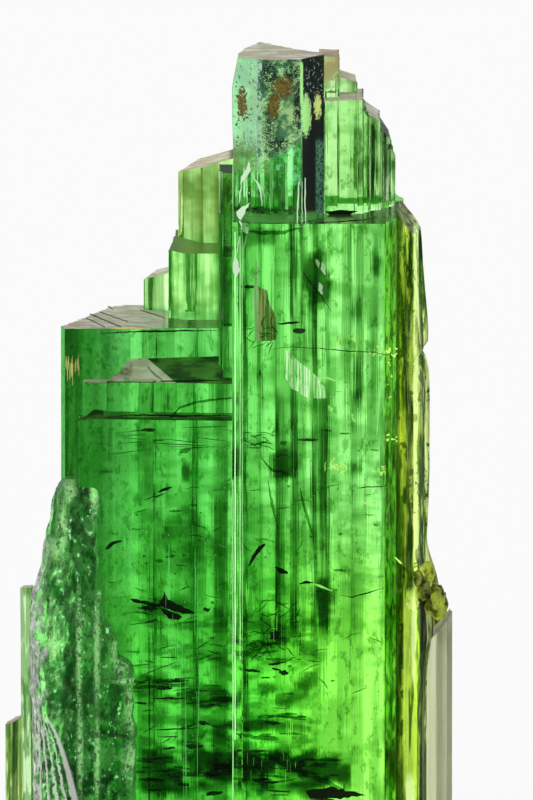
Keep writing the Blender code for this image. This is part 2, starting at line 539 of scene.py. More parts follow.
class Graph(Nodes):
    """A material's nodes. Positions inside are in millimetres."""

    def __init__(self, name, front=TRUNK_FRONT):
        self.material = bpy.data.materials.new(name)
        self.material.use_nodes = True
        self.material.cycles.emission_sampling = "NONE"
        super().__init__(self.material.node_tree)
        self.shader = self.tree.nodes["Principled BSDF"]
        self.output = self.tree.nodes["Material Output"]
        place = self.source("ShaderNodeTexCoord", "Object")
        self.place = self.vector("MULTIPLY", place, (1 / MM, 1 / MM, 1 / MM))
        self.x, self.y, self.z = self.split(self.place)
        facing = self.source("ShaderNodeNewGeometry", "Normal")
        self.facing_x, self.facing_y, self.facing_z = self.split(facing)
        self.front = front
        # The height at which the photograph shows a point that lies behind the front
        self.level = self.math("MULTIPLY_ADD", self.math("SUBTRACT", self.y, front), FALL_INSIDE, self.z)
        seen = self.tree.nodes.new("ShaderNodeCombineXYZ")
        self.feed(seen.inputs[0], self.x)
        self.feed(seen.inputs[1], self.level)
        self.seen = seen.outputs[0]

    def where(self, **limits):
        """One where each named value, such as z, has gone from its first limit to its second."""
        return self.product(*[self.between(getattr(self, name), *ends) for name, ends in limits.items()])

    def at_level(self, level, half):
        """One close to a level, such as that of an end face."""
        return self.window(self.z, level - half, level + half, 0.05)

    def window(self, value, low, high, soft):
        """One between low and high, and nothing outside."""
        return self.product(
            self.between(value, low - soft, low + soft), self.between(value, high + soft, high - soft))

    def noise(self, scale, stretch=(1.0, 1.0, 1.0), detail=3.0, offset=(0.0, 0.0, 0.0), rough=0.55):
        node = self.tree.nodes.new("ShaderNodeTexNoise")
        self.feed(node.inputs["Vector"], self.vector("MULTIPLY_ADD", self.place, stretch, offset))
        node.inputs["Scale"].default_value = scale
        node.inputs["Detail"].default_value = detail
        node.inputs["Roughness"].default_value = rough
        return node.outputs["Fac"]

    def spot(self, column, row, half_width, half_height, ragged=None, soft=0.3, start=0.0, end=1.0):
        """An oval mark, in pixels of the photograph. ragged is a value that breaks up its edge."""
        middle = seen_at(column, row, self.front)
        width = half_width * PIXEL
        height = half_height * PIXEL
        shift = (-middle.x / width, -middle.z / height, 0.0)
        offset = self.vector("MULTIPLY_ADD", self.seen, (1 / width, 1 / height, 0.0), shift)
        away = self.vector("DOT_PRODUCT", offset, offset)
        if ragged is not None:
            away = self.math("ADD", away, ragged)
        return self.between(away, 1.0 + 2.0 * soft, 1.0 - 2.0 * soft, start, end)

    def spots(self, table, ragged=None, soft=0.3):
        """The strongest of several oval marks. A fifth value in a row is the mark's strength."""
        marks = []
        for column, row, half_width, half_height, *strength in table:
            end = strength[0] if strength else 1.0
            marks.append(self.spot(column, row, half_width, half_height, ragged, soft, end=end))
        return self.most(*marks)

    def rows(self, top, bottom, soft=3.0):
        """One between two rows of the photograph's pixels."""
        return self.window(
            self.level, seen_at(0, bottom, self.front).z, seen_at(0, top, self.front).z, soft * PIXEL)

    def columns(self, left, right, soft=1.0):
        """One between two columns of the photograph's pixels."""
        return self.window(
            self.x, seen_at(left, 0, self.front).x, seen_at(right, 0, self.front).x, soft * PIXEL)

    def patch(self, left, right, top, bottom, soft=1.0, end_soft=3.0):
        """One between two columns and two rows of the photograph's pixels."""
        return self.product(self.columns(left, right, soft), self.rows(top, bottom, end_soft))

    def bands(self, table, across):
        """Upright dark bands: (first column, last column, softness, share of the light they take)."""
        ramp = self.tree.nodes.new("ShaderNodeValToRGB")
        stops = ramp.color_ramp.elements
        start = seen_at(table[0][0] - 20, 0, self.front).x
        reach = seen_at(table[-1][1] + 20, 0, self.front).x - start
        self.feed(ramp.inputs["Fac"], self.math("DIVIDE", self.math("SUBTRACT", across, start), reach))
        stops[0].position = 0.0
        stops[1].position = 1.0
        stops[1].color = (0.0, 0.0, 0.0, 1.0)
        for left, right, soft, share in table:
            for column, value in ((left - soft, 0.0), (left + soft, share), (right - soft, share),
                                  (right + soft, 0.0)):
                stop = stops.new((seen_at(column, 0, self.front).x - start) / reach)
                stop.color = (value, value, value, 1.0)
        return ramp.outputs["Color"]

    def shade(self, colour, light):
        """Darkens a colour, faster in red and blue than in green."""
        node = self.tree.nodes.new("ShaderNodeCombineColor")
        self.feed(node.inputs[0], self.math("POWER", light, 1.5))
        self.feed(node.inputs[1], light)
        self.feed(node.inputs[2], self.math("POWER", light, 1.7))
        return self.mix(1.0, colour, node.outputs[0], "MULTIPLY")

    def bump(self, height, distance, strength=1.0):
        node = self.tree.nodes.new("ShaderNodeBump")
        self.feed(node.inputs["Height"], height)
        node.inputs["Distance"].default_value = distance * MM
        node.inputs["Strength"].default_value = strength
        self.tree.links.new(node.outputs["Normal"], self.shader.inputs["Normal"])

    def set(self, socket, value):
        self.feed(self.shader.inputs[socket], value)

    def clear(self, loss):
        """Makes the stone see-through. loss is what a millimetre takes from red, green and blue."""
        self.set("IOR", CRYSTAL_IOR)
        volume = self.tree.nodes.new("ShaderNodeVolumeAbsorption")
        densest = max(loss)
        volume.inputs["Color"].default_value = (*[1.0 - share / densest for share in loss], 1.0)
        volume.inputs["Density"].default_value = densest / MM
        self.feed(self.output.inputs["Volume"], volume.outputs["Volume"])


class Stone(Graph):
    """Clear crystal. Coats are painted over its tint, its roughness and its clearness, and a painted glow
    over its emission.
    """

    def __init__(self, name, loss, front, seed=0.0, blur=0.11):
        super().__init__(name, front)
        self.clear(loss)
        self.seed = seed
        self.colour = (1.0, 1.0, 1.0)
        self.roughness = blur
        self.clearness = 1.0
        self.glow = (0.0, 0.0, 0.0)

    def painted_glow(self, share, colour):
        """Painted glow: an emitted colour that brightens a patch of the stone as if lit from behind."""
        self.glow = self.mix(share, self.glow, colour)

    def coat(self, share, colour, roughness=None, clearness=None, painted_glow=None):
        self.colour = self.mix(share, self.colour, colour)
        if roughness is not None:
            self.roughness = self.blend(share, self.roughness, roughness)
        if clearness is not None:
            self.clearness = self.blend(share, self.clearness, clearness)
        if painted_glow is not None:
            self.painted_glow(share, painted_glow)

    def darken(self, light):
        self.colour = self.shade(self.colour, light)

    def paint_shade_behind(self, bands=(), spots=(), beds=(), streak=0.36, cloud=0.33, blur=0.09):
        """Painted shade on the far side of the crystal: soft dark bands, streaks, clouds, dark beds and dark
        spots, and a lighter share of the bands with dark flecks on its near side.
        """
        behind = self.between(self.y, -1.5, 0.5)
        bent = self.noise(0.5, stretch=(1.0, 1.0, 0.6), detail=2.0, offset=(self.seed, 1.0, 0.0))
        across = self.math("ADD", self.x, self.between(bent, 0.2, 0.8, -0.12, 0.12))
        changing = self.between(bent, 0.34, 0.6, 0.6, 1.1)
        streaks = self.noise(1.7, stretch=(1.0, 0.2, 0.06), detail=3.0, offset=(self.seed, 0.0, 0.0))
        clouds = self.noise(0.9, stretch=(0.8, 0.3, 0.9), detail=2.0, offset=(0.0, self.seed, 4.0))
        light = self.product(
            self.between(streaks, 0.38, 0.55, 1.0 - streak, 1.0),
            self.between(clouds, 0.34, 0.56, 1.0 - cloud, 1.0))
        ahead = 1.0
        for top, bottom, table in bands:
            taken = self.product(self.bands(table, across), self.rows(top, bottom, 12), changing)
            light = self.product(light, self.less(taken, 1.0))
            ahead = self.product(self.less(taken, 0.4), ahead)
        ragged = self.between(clouds, 0.25, 0.75, -0.9, 0.9)
        for *place, share in spots:
            light = self.product(light, self.spot(*place, ragged, 0.4, start=1.0, end=1.0 - share))
        flat = self.noise(1.5, stretch=(0.6, 0.4, 1.2), detail=2.0, rough=0.6, offset=(5.0, self.seed, 0.0))
        for left, right, top, bottom, share in beds:
            bed = self.product(self.patch(left, right, top, bottom, 8, 14), self.between(flat, 0.58, 0.40))
            light = self.product(light, self.less(bed, share))
        self.flecks = self.noise(
            2.2, stretch=(1.0, 1.0, 0.55), detail=3.0, rough=0.72, offset=(3.0, self.seed, 9.0))
        ahead = self.product(self.between(self.flecks, 0.53, 0.66, 1.0, 0.6), ahead)
        light = self.blend(behind, ahead, light)
        self.darken(self.product(light, light))
        self.roughness = self.most(self.product(behind, blur), self.roughness)

    def end_faces(self, colour=(0.62, 0.48, 0.38), pale=(0.92, 0.82, 0.72)):
        """The matte, pitted, flat ends of the prisms, with fine slanting growth lines."""
        self.ends = self.where(facing_z=(0.55, 0.75))
        self.grain = self.noise(1.4, stretch=(0.5, 1.0, 1.0), detail=3.0, offset=(self.seed, 3.0, 0.0))
        self.coat(self.ends, self.mix(self.where(grain=(0.38, 0.62)), colour, pale), 0.5, 0.35)
        slant = self.math("ADD", self.product(self.x, 0.9), self.product(self.y, 0.8))
        wave = self.math("SINE", self.product(self.math("ADD", slant, self.product(self.grain, 0.6)), 4.2))
        lines = self.product(self.ends, self.between(wave, 0.93, 0.99), self.where(grain=(0.48, 0.54)))
        self.coat(self.product(lines, 0.8), (0.16, 0.14, 0.10), 0.4, 0.35)

    def done(self, scratch=0.4):
        self.set("Base Color", self.colour)
        self.set("Roughness", self.roughness)
        self.set("Transmission Weight", self.clearness)
        # The painted glow is emitted here.
        self.set("Emission Color", self.glow)
        self.set("Emission Strength", 1.0)
        scratches = self.noise(9.0, stretch=(1.0, 1.0, 0.03), detail=1.0, offset=(self.seed, 0.0, 0.0))
        self.bump(scratches, 0.012, scratch)
        return self.material


def plain(name, colour, roughness=0.5, glow=0.0, clearness=0.0, bending=1.5):
    graph = Graph(name)
    graph.set("Base Color", colour)
    graph.set("Roughness", roughness)
    graph.set("Transmission Weight", clearness)
    graph.set("IOR", bending)
    # Painted glow where glow is above nothing: the piece emits its own colour.
    graph.set("Emission Color", colour)
    graph.set("Emission Strength", glow)
    return graph.material


def striped(name, scale, dark, pale, glow):
    """An upright striped surface with a painted glow: it emits its own colour as if lit from behind."""
    graph = Graph(name)
    stripes = graph.noise(scale, stretch=(2.0, 1.0, 0.05), detail=4.0, rough=0.6)
    colour = graph.mix(graph.between(stripes, 0.47, 0.55), dark, pale)
    graph.set("Base Color", colour)
    graph.set("Roughness", 0.4)
    graph.set("Emission Color", colour)
    graph.set("Emission Strength", glow)
    return graph.material


# The crystals, seen from above: outline, height over its first point and slope of the end face

CRYSTALS = {
    "trunk": (
        [(0.68, -5.55), (7.75, -5.55), (8.3, -3.7), (8.7, 3.2), (8.3, 4.9), (4.6, 5.6),
         (1.8, 5.45), (0.2, 5.2), (0.14, -3.7), (0.15, -4.95), (0.62, -5.25)],
        TRUNK_TOP, FLAT),
    "front": ([(4.65, -2.3), (6.7, -2.1), (6.7, 2.0), (4.65, 2.3)], 42.9, FLAT),
    "side": ([(6.3, -1.9), (7.0, -1.6), (6.95, 2.5), (6.3, 2.3)], 43.0, (-1.7, 0.0)),
    "block": ([(4.5, -1.1), (5.5, -1.0), (5.5, 1.5), (4.5, 1.7)], 44.95, FLAT),
    "back": ([(5.2, 0.8), (6.4, 0.8), (6.3, 3.3), (5.2, 3.5)], 43.75, (-0.3, 0.0)),
    "step": ([(6.9, -1.2), (7.55, -0.8), (7.5, 2.8), (6.6, 3.0)], 42.1, (-0.7, 0.0)),
    "end": ([(7.4, -0.9), (8.1, 0.3), (8.0, 3.0), (7.4, 3.2)], 41.5, (-1.4, 0.0)),
    "end_low": ([(7.9, -0.2), (8.3, 0.6), (8.2, 2.8), (7.8, 3.0)], 40.4, (-1.8, 0.0)),
    "left_prism": (
        [(-8.2, -2.5), (0.6, -2.2), (0.6, 5.0), (-5.2, 5.4), (-6.0, 4.7), (-8.4, -1.7)], LEFT_TOP, FLAT),
    "left_step_upper": ([(-6.1, -3.7), (0.6, -3.9), (0.6, -1.6), (-4.2, -1.6)], 29.0, FRONT_BEVEL),
    "left_step_lower": ([(-7.55, -4.4), (0.6, -4.6), (0.6, -3.0), (-6.2, -3.0)], 27.2, (0.0, 0.4)),
    "left_fill_upper": (
        [(-7.3, -3.45), (-6.0, -3.68), (-4.0, -3.7), (-4.0, -1.6), (-7.3, -2.1)], 28.9, FLAT),
    "left_fill_lower": ([(-7.5, -4.36), (-5.9, -4.4), (-5.9, -2.4), (-7.5, -2.1)], 27.1, FLAT),
    "rib": ([(-0.52, -2.7), (-0.3, -3.5), (0.6, -3.5), (0.6, -0.5), (-0.5, -0.5)], RIB_TOP, FLAT),
    "middle_prism": (
        [(-2.2, 0.4), (0.6, 0.4), (0.6, 5.3), (-1.2, 5.5), (-2.7, 4.4), (-3.05, 1.0)],
        MIDDLE_TOP - 0.3, (0.0, 0.15)),
    "back_prism": ([(-1.3, 2.2), (0.6, 2.2), (0.6, 5.4), (-1.6, 5.6), (-2.55, 3.2)], 38.9, (0.3, 0.0)),
    "small_back_prism": ([(-4.3, 3.7), (-2.4, 3.1), (-2.3, 5.3), (-3.7, 5.6)], 33.0, (0.3, 0.0)),
}
# The tip stands on the trunk's end face, where the photograph shows a fracture
TIP = {
    "tip": (
        [(1.45, -5.2), (1.75, -5.35), (3.55, -5.25), (4.72, -3.4), (4.72, -2.9), (3.6, -1.9), (1.54, 0.95),
         (0.6, -1.4), (0.2, -3.0), (0.24, -4.5)],
        45.42, FLAT),
}
TIP_BASE = 37.22
TIP_EDGE = [(242, 40), (240, 50), (237, 62), (235, 75), (232, 88), (232, 115), (233, 150), (233, 230)]
BESIDE_TIP = ((0.16, -4.0, 37.21), (1.5, 0.5, 41.0))
RIM_GROUP = {
    "rim": (
        [(8.325, -3.76), (8.36, -4.6), (8.5, -4.85), (8.68, -5.0), (8.86, -4.85), (8.95, -4.45),
         (9.14, -4.3), (9.22, -4.5), (9.4, -4.5), (9.55, -4.2), (9.6, -3.75), (9.66, -3.5), (9.72, -3.35),
         (9.78, -2.9), (9.78, -0.6), (10.05, -0.3), (10.05, 1.0), (9.9, 1.8), (9.3, 3.0), (8.72, 3.2)],
        37.6, (-0.9, 0.0)),
    "yellow_rib": (
        [(8.75, -4.9), (8.9, -5.2), (9.1, -5.3), (9.3, -5.2), (9.42, -4.9), (9.4, -4.0), (8.8, -4.0)],
        18.0, (0.0, 0.9)),
}
# The touching sides of the trunk and the rim, by number in their outlines
SMOOTH_SIDES = {"trunk": 2, "rim": 19}
RIM_EDGE = [
    (398, 195), (400, 208), (412, 218), (420, 226), (422, 240), (423, 262), (425, 290), (428, 320),
    (429, 340), (428, 349), (421, 354), (424, 359), (428, 367), (430, 380), (430, 470), (429, 500),
    (427, 548), (430, 560), (434, 572), (439, 588), (441, 628), (435, 660), (433, 700), (433, 950),
]
# Lumps of the knot: column, row, half width, half height, depth
KNOT = [
    (428, 572, 8, 11, -3.7), (423, 590, 8, 11, -4.4), (436, 597, 9, 13, -3.5), (429, 606, 8, 9, -3.9),
    (442, 604, 6, 12, -2.9), (418, 578, 5, 8, -4.6), (438, 612, 6, 8, -3.4),
]

# The foot's edges at the sides, and its depth in front and behind for each level
FOOT_LEFT = [
    (70, 470), (60, 482), (56, 489), (52, 500), (50, 515), (46, 535), (44, 550), (41, 562), (38, 585),
    (33, 600), (31, 620), (32, 700), (34, 740), (35, 800), (36, 960),
]
FOOT_RIGHT = [
    (96, 476), (104, 500), (104, 540), (108, 600), (122, 650), (140, 690), (146, 740), (140, 800),
    (138, 960),
]
FOOT_FRONT = [(0.0, -5.2), (15.0, -5.2), (20.0, -5.05), (22.5, -4.95), (23.6, -4.7), (24.0, -4.0)]
FOOT_BACK = [(0.0, 1.6), (19.0, 1.4), (22.0, 0.4), (24.0, -1.6)]
FOOT_TOP = 24.0
FOOT_STEP = 0.25
# How much larger than the crystals the hollow is where the foot lies against them
FOOT_CLEARANCE = (1.003, 1.004, 1.0)

SIDE_CRYSTAL = {
    "right_side_crystal": (
        [(9.86, -3.0), (10.03, -3.2), (10.4, -3.45), (10.85, -3.4), (11.14, -2.6), (11.05, -0.95),
         (10.3, -0.7), (9.88, -1.2)],
        15.6, (1.25, 0.0)),
}
NEEDLE_INNER = {
    "left_needle_inner": (
        [(-10.45, 0.9), (-10.2, 0.62), (-9.95, 0.66), (-9.8, 0.95), (-9.85, 1.4), (-10.3, 1.5)],
        17.8, (0.1, 0.0)),
}
NEEDLE_OUTER = {
    "left_needle_outer": (
        [(-11.2, -0.55), (-10.95, -0.95), (-10.6, -0.95), (-10.4, -0.7), (-10.35, -0.1), (-10.7, 0.3),
         (-11.15, 0.1)],
        11.1, (0.5, 0.0)),
}


# Surroundings

FRONT_LIGHT = 0.5
BACK_LIGHT = 1.68
TOP_LIGHT = 0.9
PICTURE_WHITE = 0.97
FLOOR_GLOW = 0.08
FLOOR_RADIUS = 6000.0
GLARE_KEPT = 0.08


def brightness_around(nodes, direction):
    """Soft light from behind and above, and less of it from the viewer's side."""
    _, back, up = nodes.split(direction)
    behind = nodes.between(back, -0.1, 0.8, FRONT_LIGHT, BACK_LIGHT)
    return nodes.most(behind, nodes.between(up, 0.3, 0.9, 0.0, TOP_LIGHT))


def less_glare(nodes, level):
    """Takes most of the light from mirror-like reflections, as a polarising filter does."""
    reflected = nodes.source("ShaderNodeLightPath", "Is Reflection Ray")
    scattered = nodes.source("ShaderNodeLightPath", "Is Diffuse Ray")
    mirrored = nodes.most(nodes.math("SUBTRACT", reflected, scattered), 0.0)
    return nodes.product(level, nodes.less(mirrored, 1.0 - GLARE_KEPT))


def world():
    made = bpy.data.worlds.new("surroundings")
    bpy.context.scene.world = made
    made.use_nodes = True
    nodes = Nodes(made.node_tree)
    direction = nodes.source("ShaderNodeTexCoord", "Generated")
    level = less_glare(nodes, brightness_around(nodes, direction))
    seen = nodes.source("ShaderNodeLightPath", "Is Camera Ray")
    background = made.node_tree.nodes["Background"]
    nodes.feed(background.inputs["Color"], (1.0, 1.0, 1.0))
    nodes.feed(background.inputs["Strength"], nodes.blend(seen, level, PICTURE_WHITE))


def floor():
    bm = bmesh.new()
    bmesh.ops.create_circle(bm, cap_ends=True, segments=96, radius=FLOOR_RADIUS)
    made = new_object("floor", bm)
    graph = Graph("floor_white")
    graph.set("Base Color", (0.93, 0.93, 0.93))
    graph.set("Roughness", 0.9)
    graph.set("Specular IOR Level", 0.0)
    graph.set("Emission Color", (1.0, 1.0, 1.0))
    graph.set("Emission Strength", FLOOR_GLOW)
    away = graph.vector("NORMALIZE", graph.place)
    glow = graph.tree.nodes.new("ShaderNodeEmission")
    graph.feed(glow.inputs["Strength"], less_glare(graph, brightness_around(graph, away)))
    choose = graph.tree.nodes.new("ShaderNodeMixShader")
    graph.feed(choose.inputs["Fac"], graph.source("ShaderNodeLightPath", "Is Camera Ray"))
    graph.feed(choose.inputs[1], glow.outputs[0])
    graph.feed(choose.inputs[2], graph.shader.outputs[0])
    graph.feed(graph.output.inputs["Surface"], choose.outputs[0])
    made.data.materials.append(graph.material)


def camera():
    data = bpy.data.cameras.new("camera")
    data.lens = LENS
    data.sensor_width = SENSOR
    data.clip_start = 0.01
    data.clip_end = 50.0
    made = bpy.data.objects.new("camera", data)
    back = Vector((0.0, -math.cos(CAMERA_RISE), math.sin(CAMERA_RISE)))
    made.location = (AIM + back * CAMERA_DISTANCE) * MM
    made.rotation_euler = (math.pi / 2 - CAMERA_RISE, 0.0, 0.0)
    bpy.context.scene.collection.objects.link(made)
    bpy.context.scene.camera = made


def light_paths():
    cycles = bpy.context.scene.cycles
    cycles.max_bounces = BOUNCES
    cycles.transmission_bounces = BOUNCES
    cycles.glossy_bounces = BOUNCES
    cycles.transparent_max_bounces = BOUNCES


# Stone of the grown-together prisms

# Painted shade: dark bands inside, each table for the rows between two of the photograph's:
# first and last column, softness, share of the light taken
PAINTED_SHADE_BANDS = [
    (180, 1000, [
        (64, 80, 5, 0.5), (140, 165, 8, 0.4), (183, 202, 7, 0.4), (216, 230, 4, 0.6), (243, 247, 1.5, 0.75)]),
    (100, 405, [
        (258, 262, 2, 0.5), (272, 278, 2.5, 0.55), (290, 297, 2, 0.8), (300, 304, 1.5, 0.6),
        (312, 319, 2, 0.8)]),
    (225, 405, [(327, 331, 1, 0.3), (346, 350, 3, 0.45), (356, 362, 2, 0.85), (372, 378, 2, 0.4)]),
    (395, 640, [
        (258, 262, 2, 0.3), (275, 283, 2.5, 0.85), (291, 298, 2.5, 0.88), (303, 305, 2, 0.3),
        (312, 330, 2, 0.9), (322, 329, 2, 0.7)]),
    (395, 640, [(350, 358, 4, 0.55), (381, 384, 1, 0.5)]),
]
# Painted shade in dark spots inside: column, row, half width, half height, share of the light taken
PAINTED_SHADE_SPOTS = [
    (285, 465, 16, 14, 0.8), (353, 468, 10, 12, 0.7), (318, 280, 11, 26, 0.8), (296, 701, 18, 13, 0.85),
    (260, 728, 40, 6, 0.8), (290, 775, 60, 20, 0.92), (225, 768, 50, 26, 0.92), (262, 237, 28, 8, 0.6),
    (354, 160, 5, 30, 0.6), (383, 160, 10, 38, 0.55), (376, 262, 5, 20, 0.85), (325, 600, 7, 26, 0.85),
    (158, 775, 22, 26, 0.85), (80, 350, 14, 18, 0.6), (185, 475, 6, 10, 0.8), (192, 535, 22, 24, 0.5),
    (210, 700, 24, 10, 0.75), (270, 690, 22, 7, 0.75), (265, 640, 24, 20, 0.7), (170, 610, 30, 14, 0.7),
    (215, 640, 14, 24, 0.55), (150, 690, 24, 12, 0.6), (300, 655, 30, 14, 0.55),
]
# Painted shade in dark spots on the tip's far side: column, row, half width, half height, share of the light
# taken
TIP_PAINTED_SHADE_SPOTS = [(308, 183, 8, 26, 0.97), (285, 200, 14, 18, 0.6)]
# Mottled zones of painted shade, in the pattern of flat-lying clouds: first and last column, first and last
# row, share taken
PAINTED_SHADE_BEDS = [(105, 320, 610, 800, 0.55), (105, 384, 425, 600, 0.25)]


def tint_crystals(stone):
    """Bluish green at the left, nearly colourless at the right, and greener towards the base, with a painted
    glow above the left prism's end.
    """
    low = stone.product(stone.rows(560, 1000, 80), stone.between(stone.x, -2.0, 4.0, 0.35, 1.0))
    tint = stone.mix(stone.where(x=(-2.0, 6.5)), (0.33, 0.65, 0.40), (1.0, 0.88, 1.0))
    low_tint = stone.mix(stone.where(x=(0.5, 7.0)), (0.24, 0.74, 0.07), (1.0, 0.93, 0.5))
    tint = stone.mix(low, tint, low_tint)
    behind_left = stone.where(z=(LEFT_TOP - 0.15, LEFT_TOP + 0.15), y=(-0.4, 0.2), x=(0.3, 0.0))
    tint = stone.mix(behind_left, tint, (1.0, 1.0, 0.8))
    shoulders = stone.where(z=(TRUNK_TOP, TRUNK_TOP + 0.2), y=(-2.9, -2.5))
    stone.colour = stone.mix(shoulders, tint, (0.56, 0.68, 0.44))
    # Painted glow above the left prism's end: faint green low down, warmer higher up.
    glow = stone.mix(stone.where(z=(34.8, 36.0)), (0.008, 0.045, 0.005), (0.07, 0.06, 0.015))
    stone.painted_glow(behind_left, glow)


def paint_ends(stone):
    """End faces that differ from the matte beige ones, some with painted shade and one with a painted glow.
    """
    stone.end_faces()
    trunk_end = stone.at_level(TRUNK_TOP, 0.3)
    low_end = stone.where(z=(28.6, 28.5))
    left_corner = stone.between(stone.math("ADD", stone.x, stone.y), -6.5, -6.4)
    plain_ends = stone.most(
        trunk_end, low_end, stone.product(left_corner, stone.where(z=(30.7, 30.6))),
        stone.product(stone.at_level(LEFT_TOP, 0.25), stone.where(x=(-3.4, -3.1))))
    # Painted shade: most of these ends are coloured near-black green; the trunk's end and part of a low end
    # get a clearer green.
    brown_green = stone.mix(stone.where(grain=(0.42, 0.6)), (0.006, 0.018, 0.003), (0.07, 0.14, 0.025))
    green_end = stone.most(
        trunk_end, stone.product(low_end, stone.where(x=(-6.3, -6.1), y=(-4.25, -4.1))))
    colour = stone.mix(green_end, brown_green, (0.3, 0.6, 0.16))
    stone.coat(stone.product(stone.ends, plain_ends), colour, 0.2, stone.blend(green_end, 0.5, 0.95))
    olive_end = stone.product(stone.ends, stone.at_level(MIDDLE_TOP, 0.5))
    stone.coat(olive_end, (0.35, 0.42, 0.12), 0.3, 0.7)
    rusty = stone.product(
        stone.window(stone.z, 43.6, 45.2, 0.3), stone.where(x=(4.4, 4.6), grain=(0.42, 0.5)))
    stone.coat(rusty, (0.66, 0.47, 0.25), 0.5, 0.7)
    # Painted glow on the trunk's end behind the shoulders.
    behind_shoulders = stone.product(stone.ends, trunk_end, stone.where(y=(1.8, 2.4)))
    stone.painted_glow(behind_shoulders, (0.14, 0.50, 0.09))
    rib_end = stone.product(stone.ends, stone.at_level(RIB_TOP, 0.15), stone.where(x=(1.0, 0.9)))
    stone.coat(rib_end, (0.03, 0.10, 0.02), 0.4, 0.6)


def paint_sides(stone):
    """The rough left side with a painted glow, the mottled left front with painted shade, and the olive right
    edge.
    """
    left_side = stone.where(facing_x=(-0.3, -0.6), z=(31.6, 31.4), x=(-4.0, -4.4))
    stone.roughness = stone.most(stone.roughness, stone.product(left_side, 0.7))
    # Painted glow in vein-like streaks on the rough left side.
    painted_glow_veins = stone.mix(stone.where(flecks=(0.38, 0.58)), (0.015, 0.11, 0.02), (0.045, 0.24, 0.045))
    stone.painted_glow(left_side, painted_glow_veins)
    # Painted shade: the left front is darkened in a mottled pattern.
    left_front = stone.where(facing_y=(-0.4, -0.6), x=(-4.4, -5.2), y=(-1.5, -2.0))
    shadowy = stone.mix(stone.where(flecks=(0.36, 0.56)), (0.24, 0.52, 0.30), (1.0, 1.0, 1.0))
    stone.coat(left_front, stone.mix(1.0, stone.colour, shadowy, "MULTIPLY"), 0.33)
    right_edge = stone.product(
        stone.columns(384, 399, 2), stone.where(z=(TRUNK_TOP, TRUNK_TOP - 0.6), y=(-3.0, -3.4)))
    olive = stone.mix(stone.where(flecks=(0.4, 0.6)), (0.03, 0.06, 0.002), (0.75, 0.9, 0.12))
    stone.coat(right_edge, olive, 0.2)


def crystal_stone():
    stone = Stone("crystal_stone", STONE_LOSS, TRUNK_FRONT, blur=0.06)
    tint_crystals(stone)
    stone.paint_shade_behind(PAINTED_SHADE_BANDS, PAINTED_SHADE_SPOTS, PAINTED_SHADE_BEDS)
    paint_ends(stone)
    paint_sides(stone)
    return stone.done()


# Stone of the tip

BLACK = (0.0, 0.0, 0.0)
# Dark and rust-brown patches: column, row, half width, half height, and strength if not full
TIP_DARK = [
    (269, 75, 10, 18), (292, 72, 11, 11), (270, 128, 9, 34, 0.9), (298, 105, 5, 36), (278, 145, 16, 9),
]
TIP_RUST = [(242, 105, 5, 17), (283, 87, 10, 11), (274, 104, 6, 14)]
# The etched part ends below at a slanting line through this point of the photograph
ETCHED_CORNER = (268, 160)
ETCHED_SLANT = 0.6


def above_etched_edge(stone):
    corner = seen_at(*ETCHED_CORNER, TRUNK_FRONT)
    edge = corner.z - ETCHED_SLANT * corner.x
    over = stone.math("SUBTRACT", stone.level, stone.product(stone.x, ETCHED_SLANT))
    return stone.between(stone.math("ADD", over, stone.product(stone.ragged, 0.3)), edge - 0.1, edge + 0.1)


def etched_front(stone, above):
    """The mint edge and the etched middle of the tip's front, each with a painted glow."""
    # Painted glow on the mint edge.
    mint = stone.product(stone.ahead, stone.patch(225, 258, 56, 150, end_soft=6))
    stone.coat(mint, (0.36, 0.52, 0.38), 0.2, 0.93, (0.24, 0.44, 0.28))
    # The lower left gets a faint painted glow.
    lower_left = stone.product(
        stone.ahead, stone.patch(225, 270, 140, 172, end_soft=6),
        stone.between(stone.fine, 0.46, 0.56, 0.2, 1.0))
    stone.coat(lower_left, (0.10, 0.16, 0.05), 0.4, 0.5, (0.10, 0.16, 0.05))
    etched = stone.product(stone.ahead, stone.patch(258, 301, 56, 175), above)
    grey = stone.mix(stone.where(coarse=(0.42, 0.56)), (0.06, 0.16, 0.10), (0.44, 0.66, 0.34))
    # Painted glow on the etched middle, brighter on its paler patches.
    glow = stone.mix(stone.where(coarse=(0.44, 0.58)), (0.03, 0.08, 0.05), (0.30, 0.50, 0.22))
    stone.coat(etched, grey, 0.4, 0.85, glow)
    olive = stone.product(
        etched, stone.spot(288, 112, 12, 28, stone.ragged), stone.where(coarse=(0.4, 0.55)))
    stone.coat(olive, (0.20, 0.25, 0.05), 0.5, 0.55)
    dark = stone.most(stone.spots(TIP_DARK, stone.ragged), 0.25)
    specks = stone.product(etched, stone.between(stone.fine, 0.44, 0.48, 0.1, 1.0), dark)
    stone.coat(specks, (0.004, 0.022, 0.022), 0.4, 0.1, BLACK)


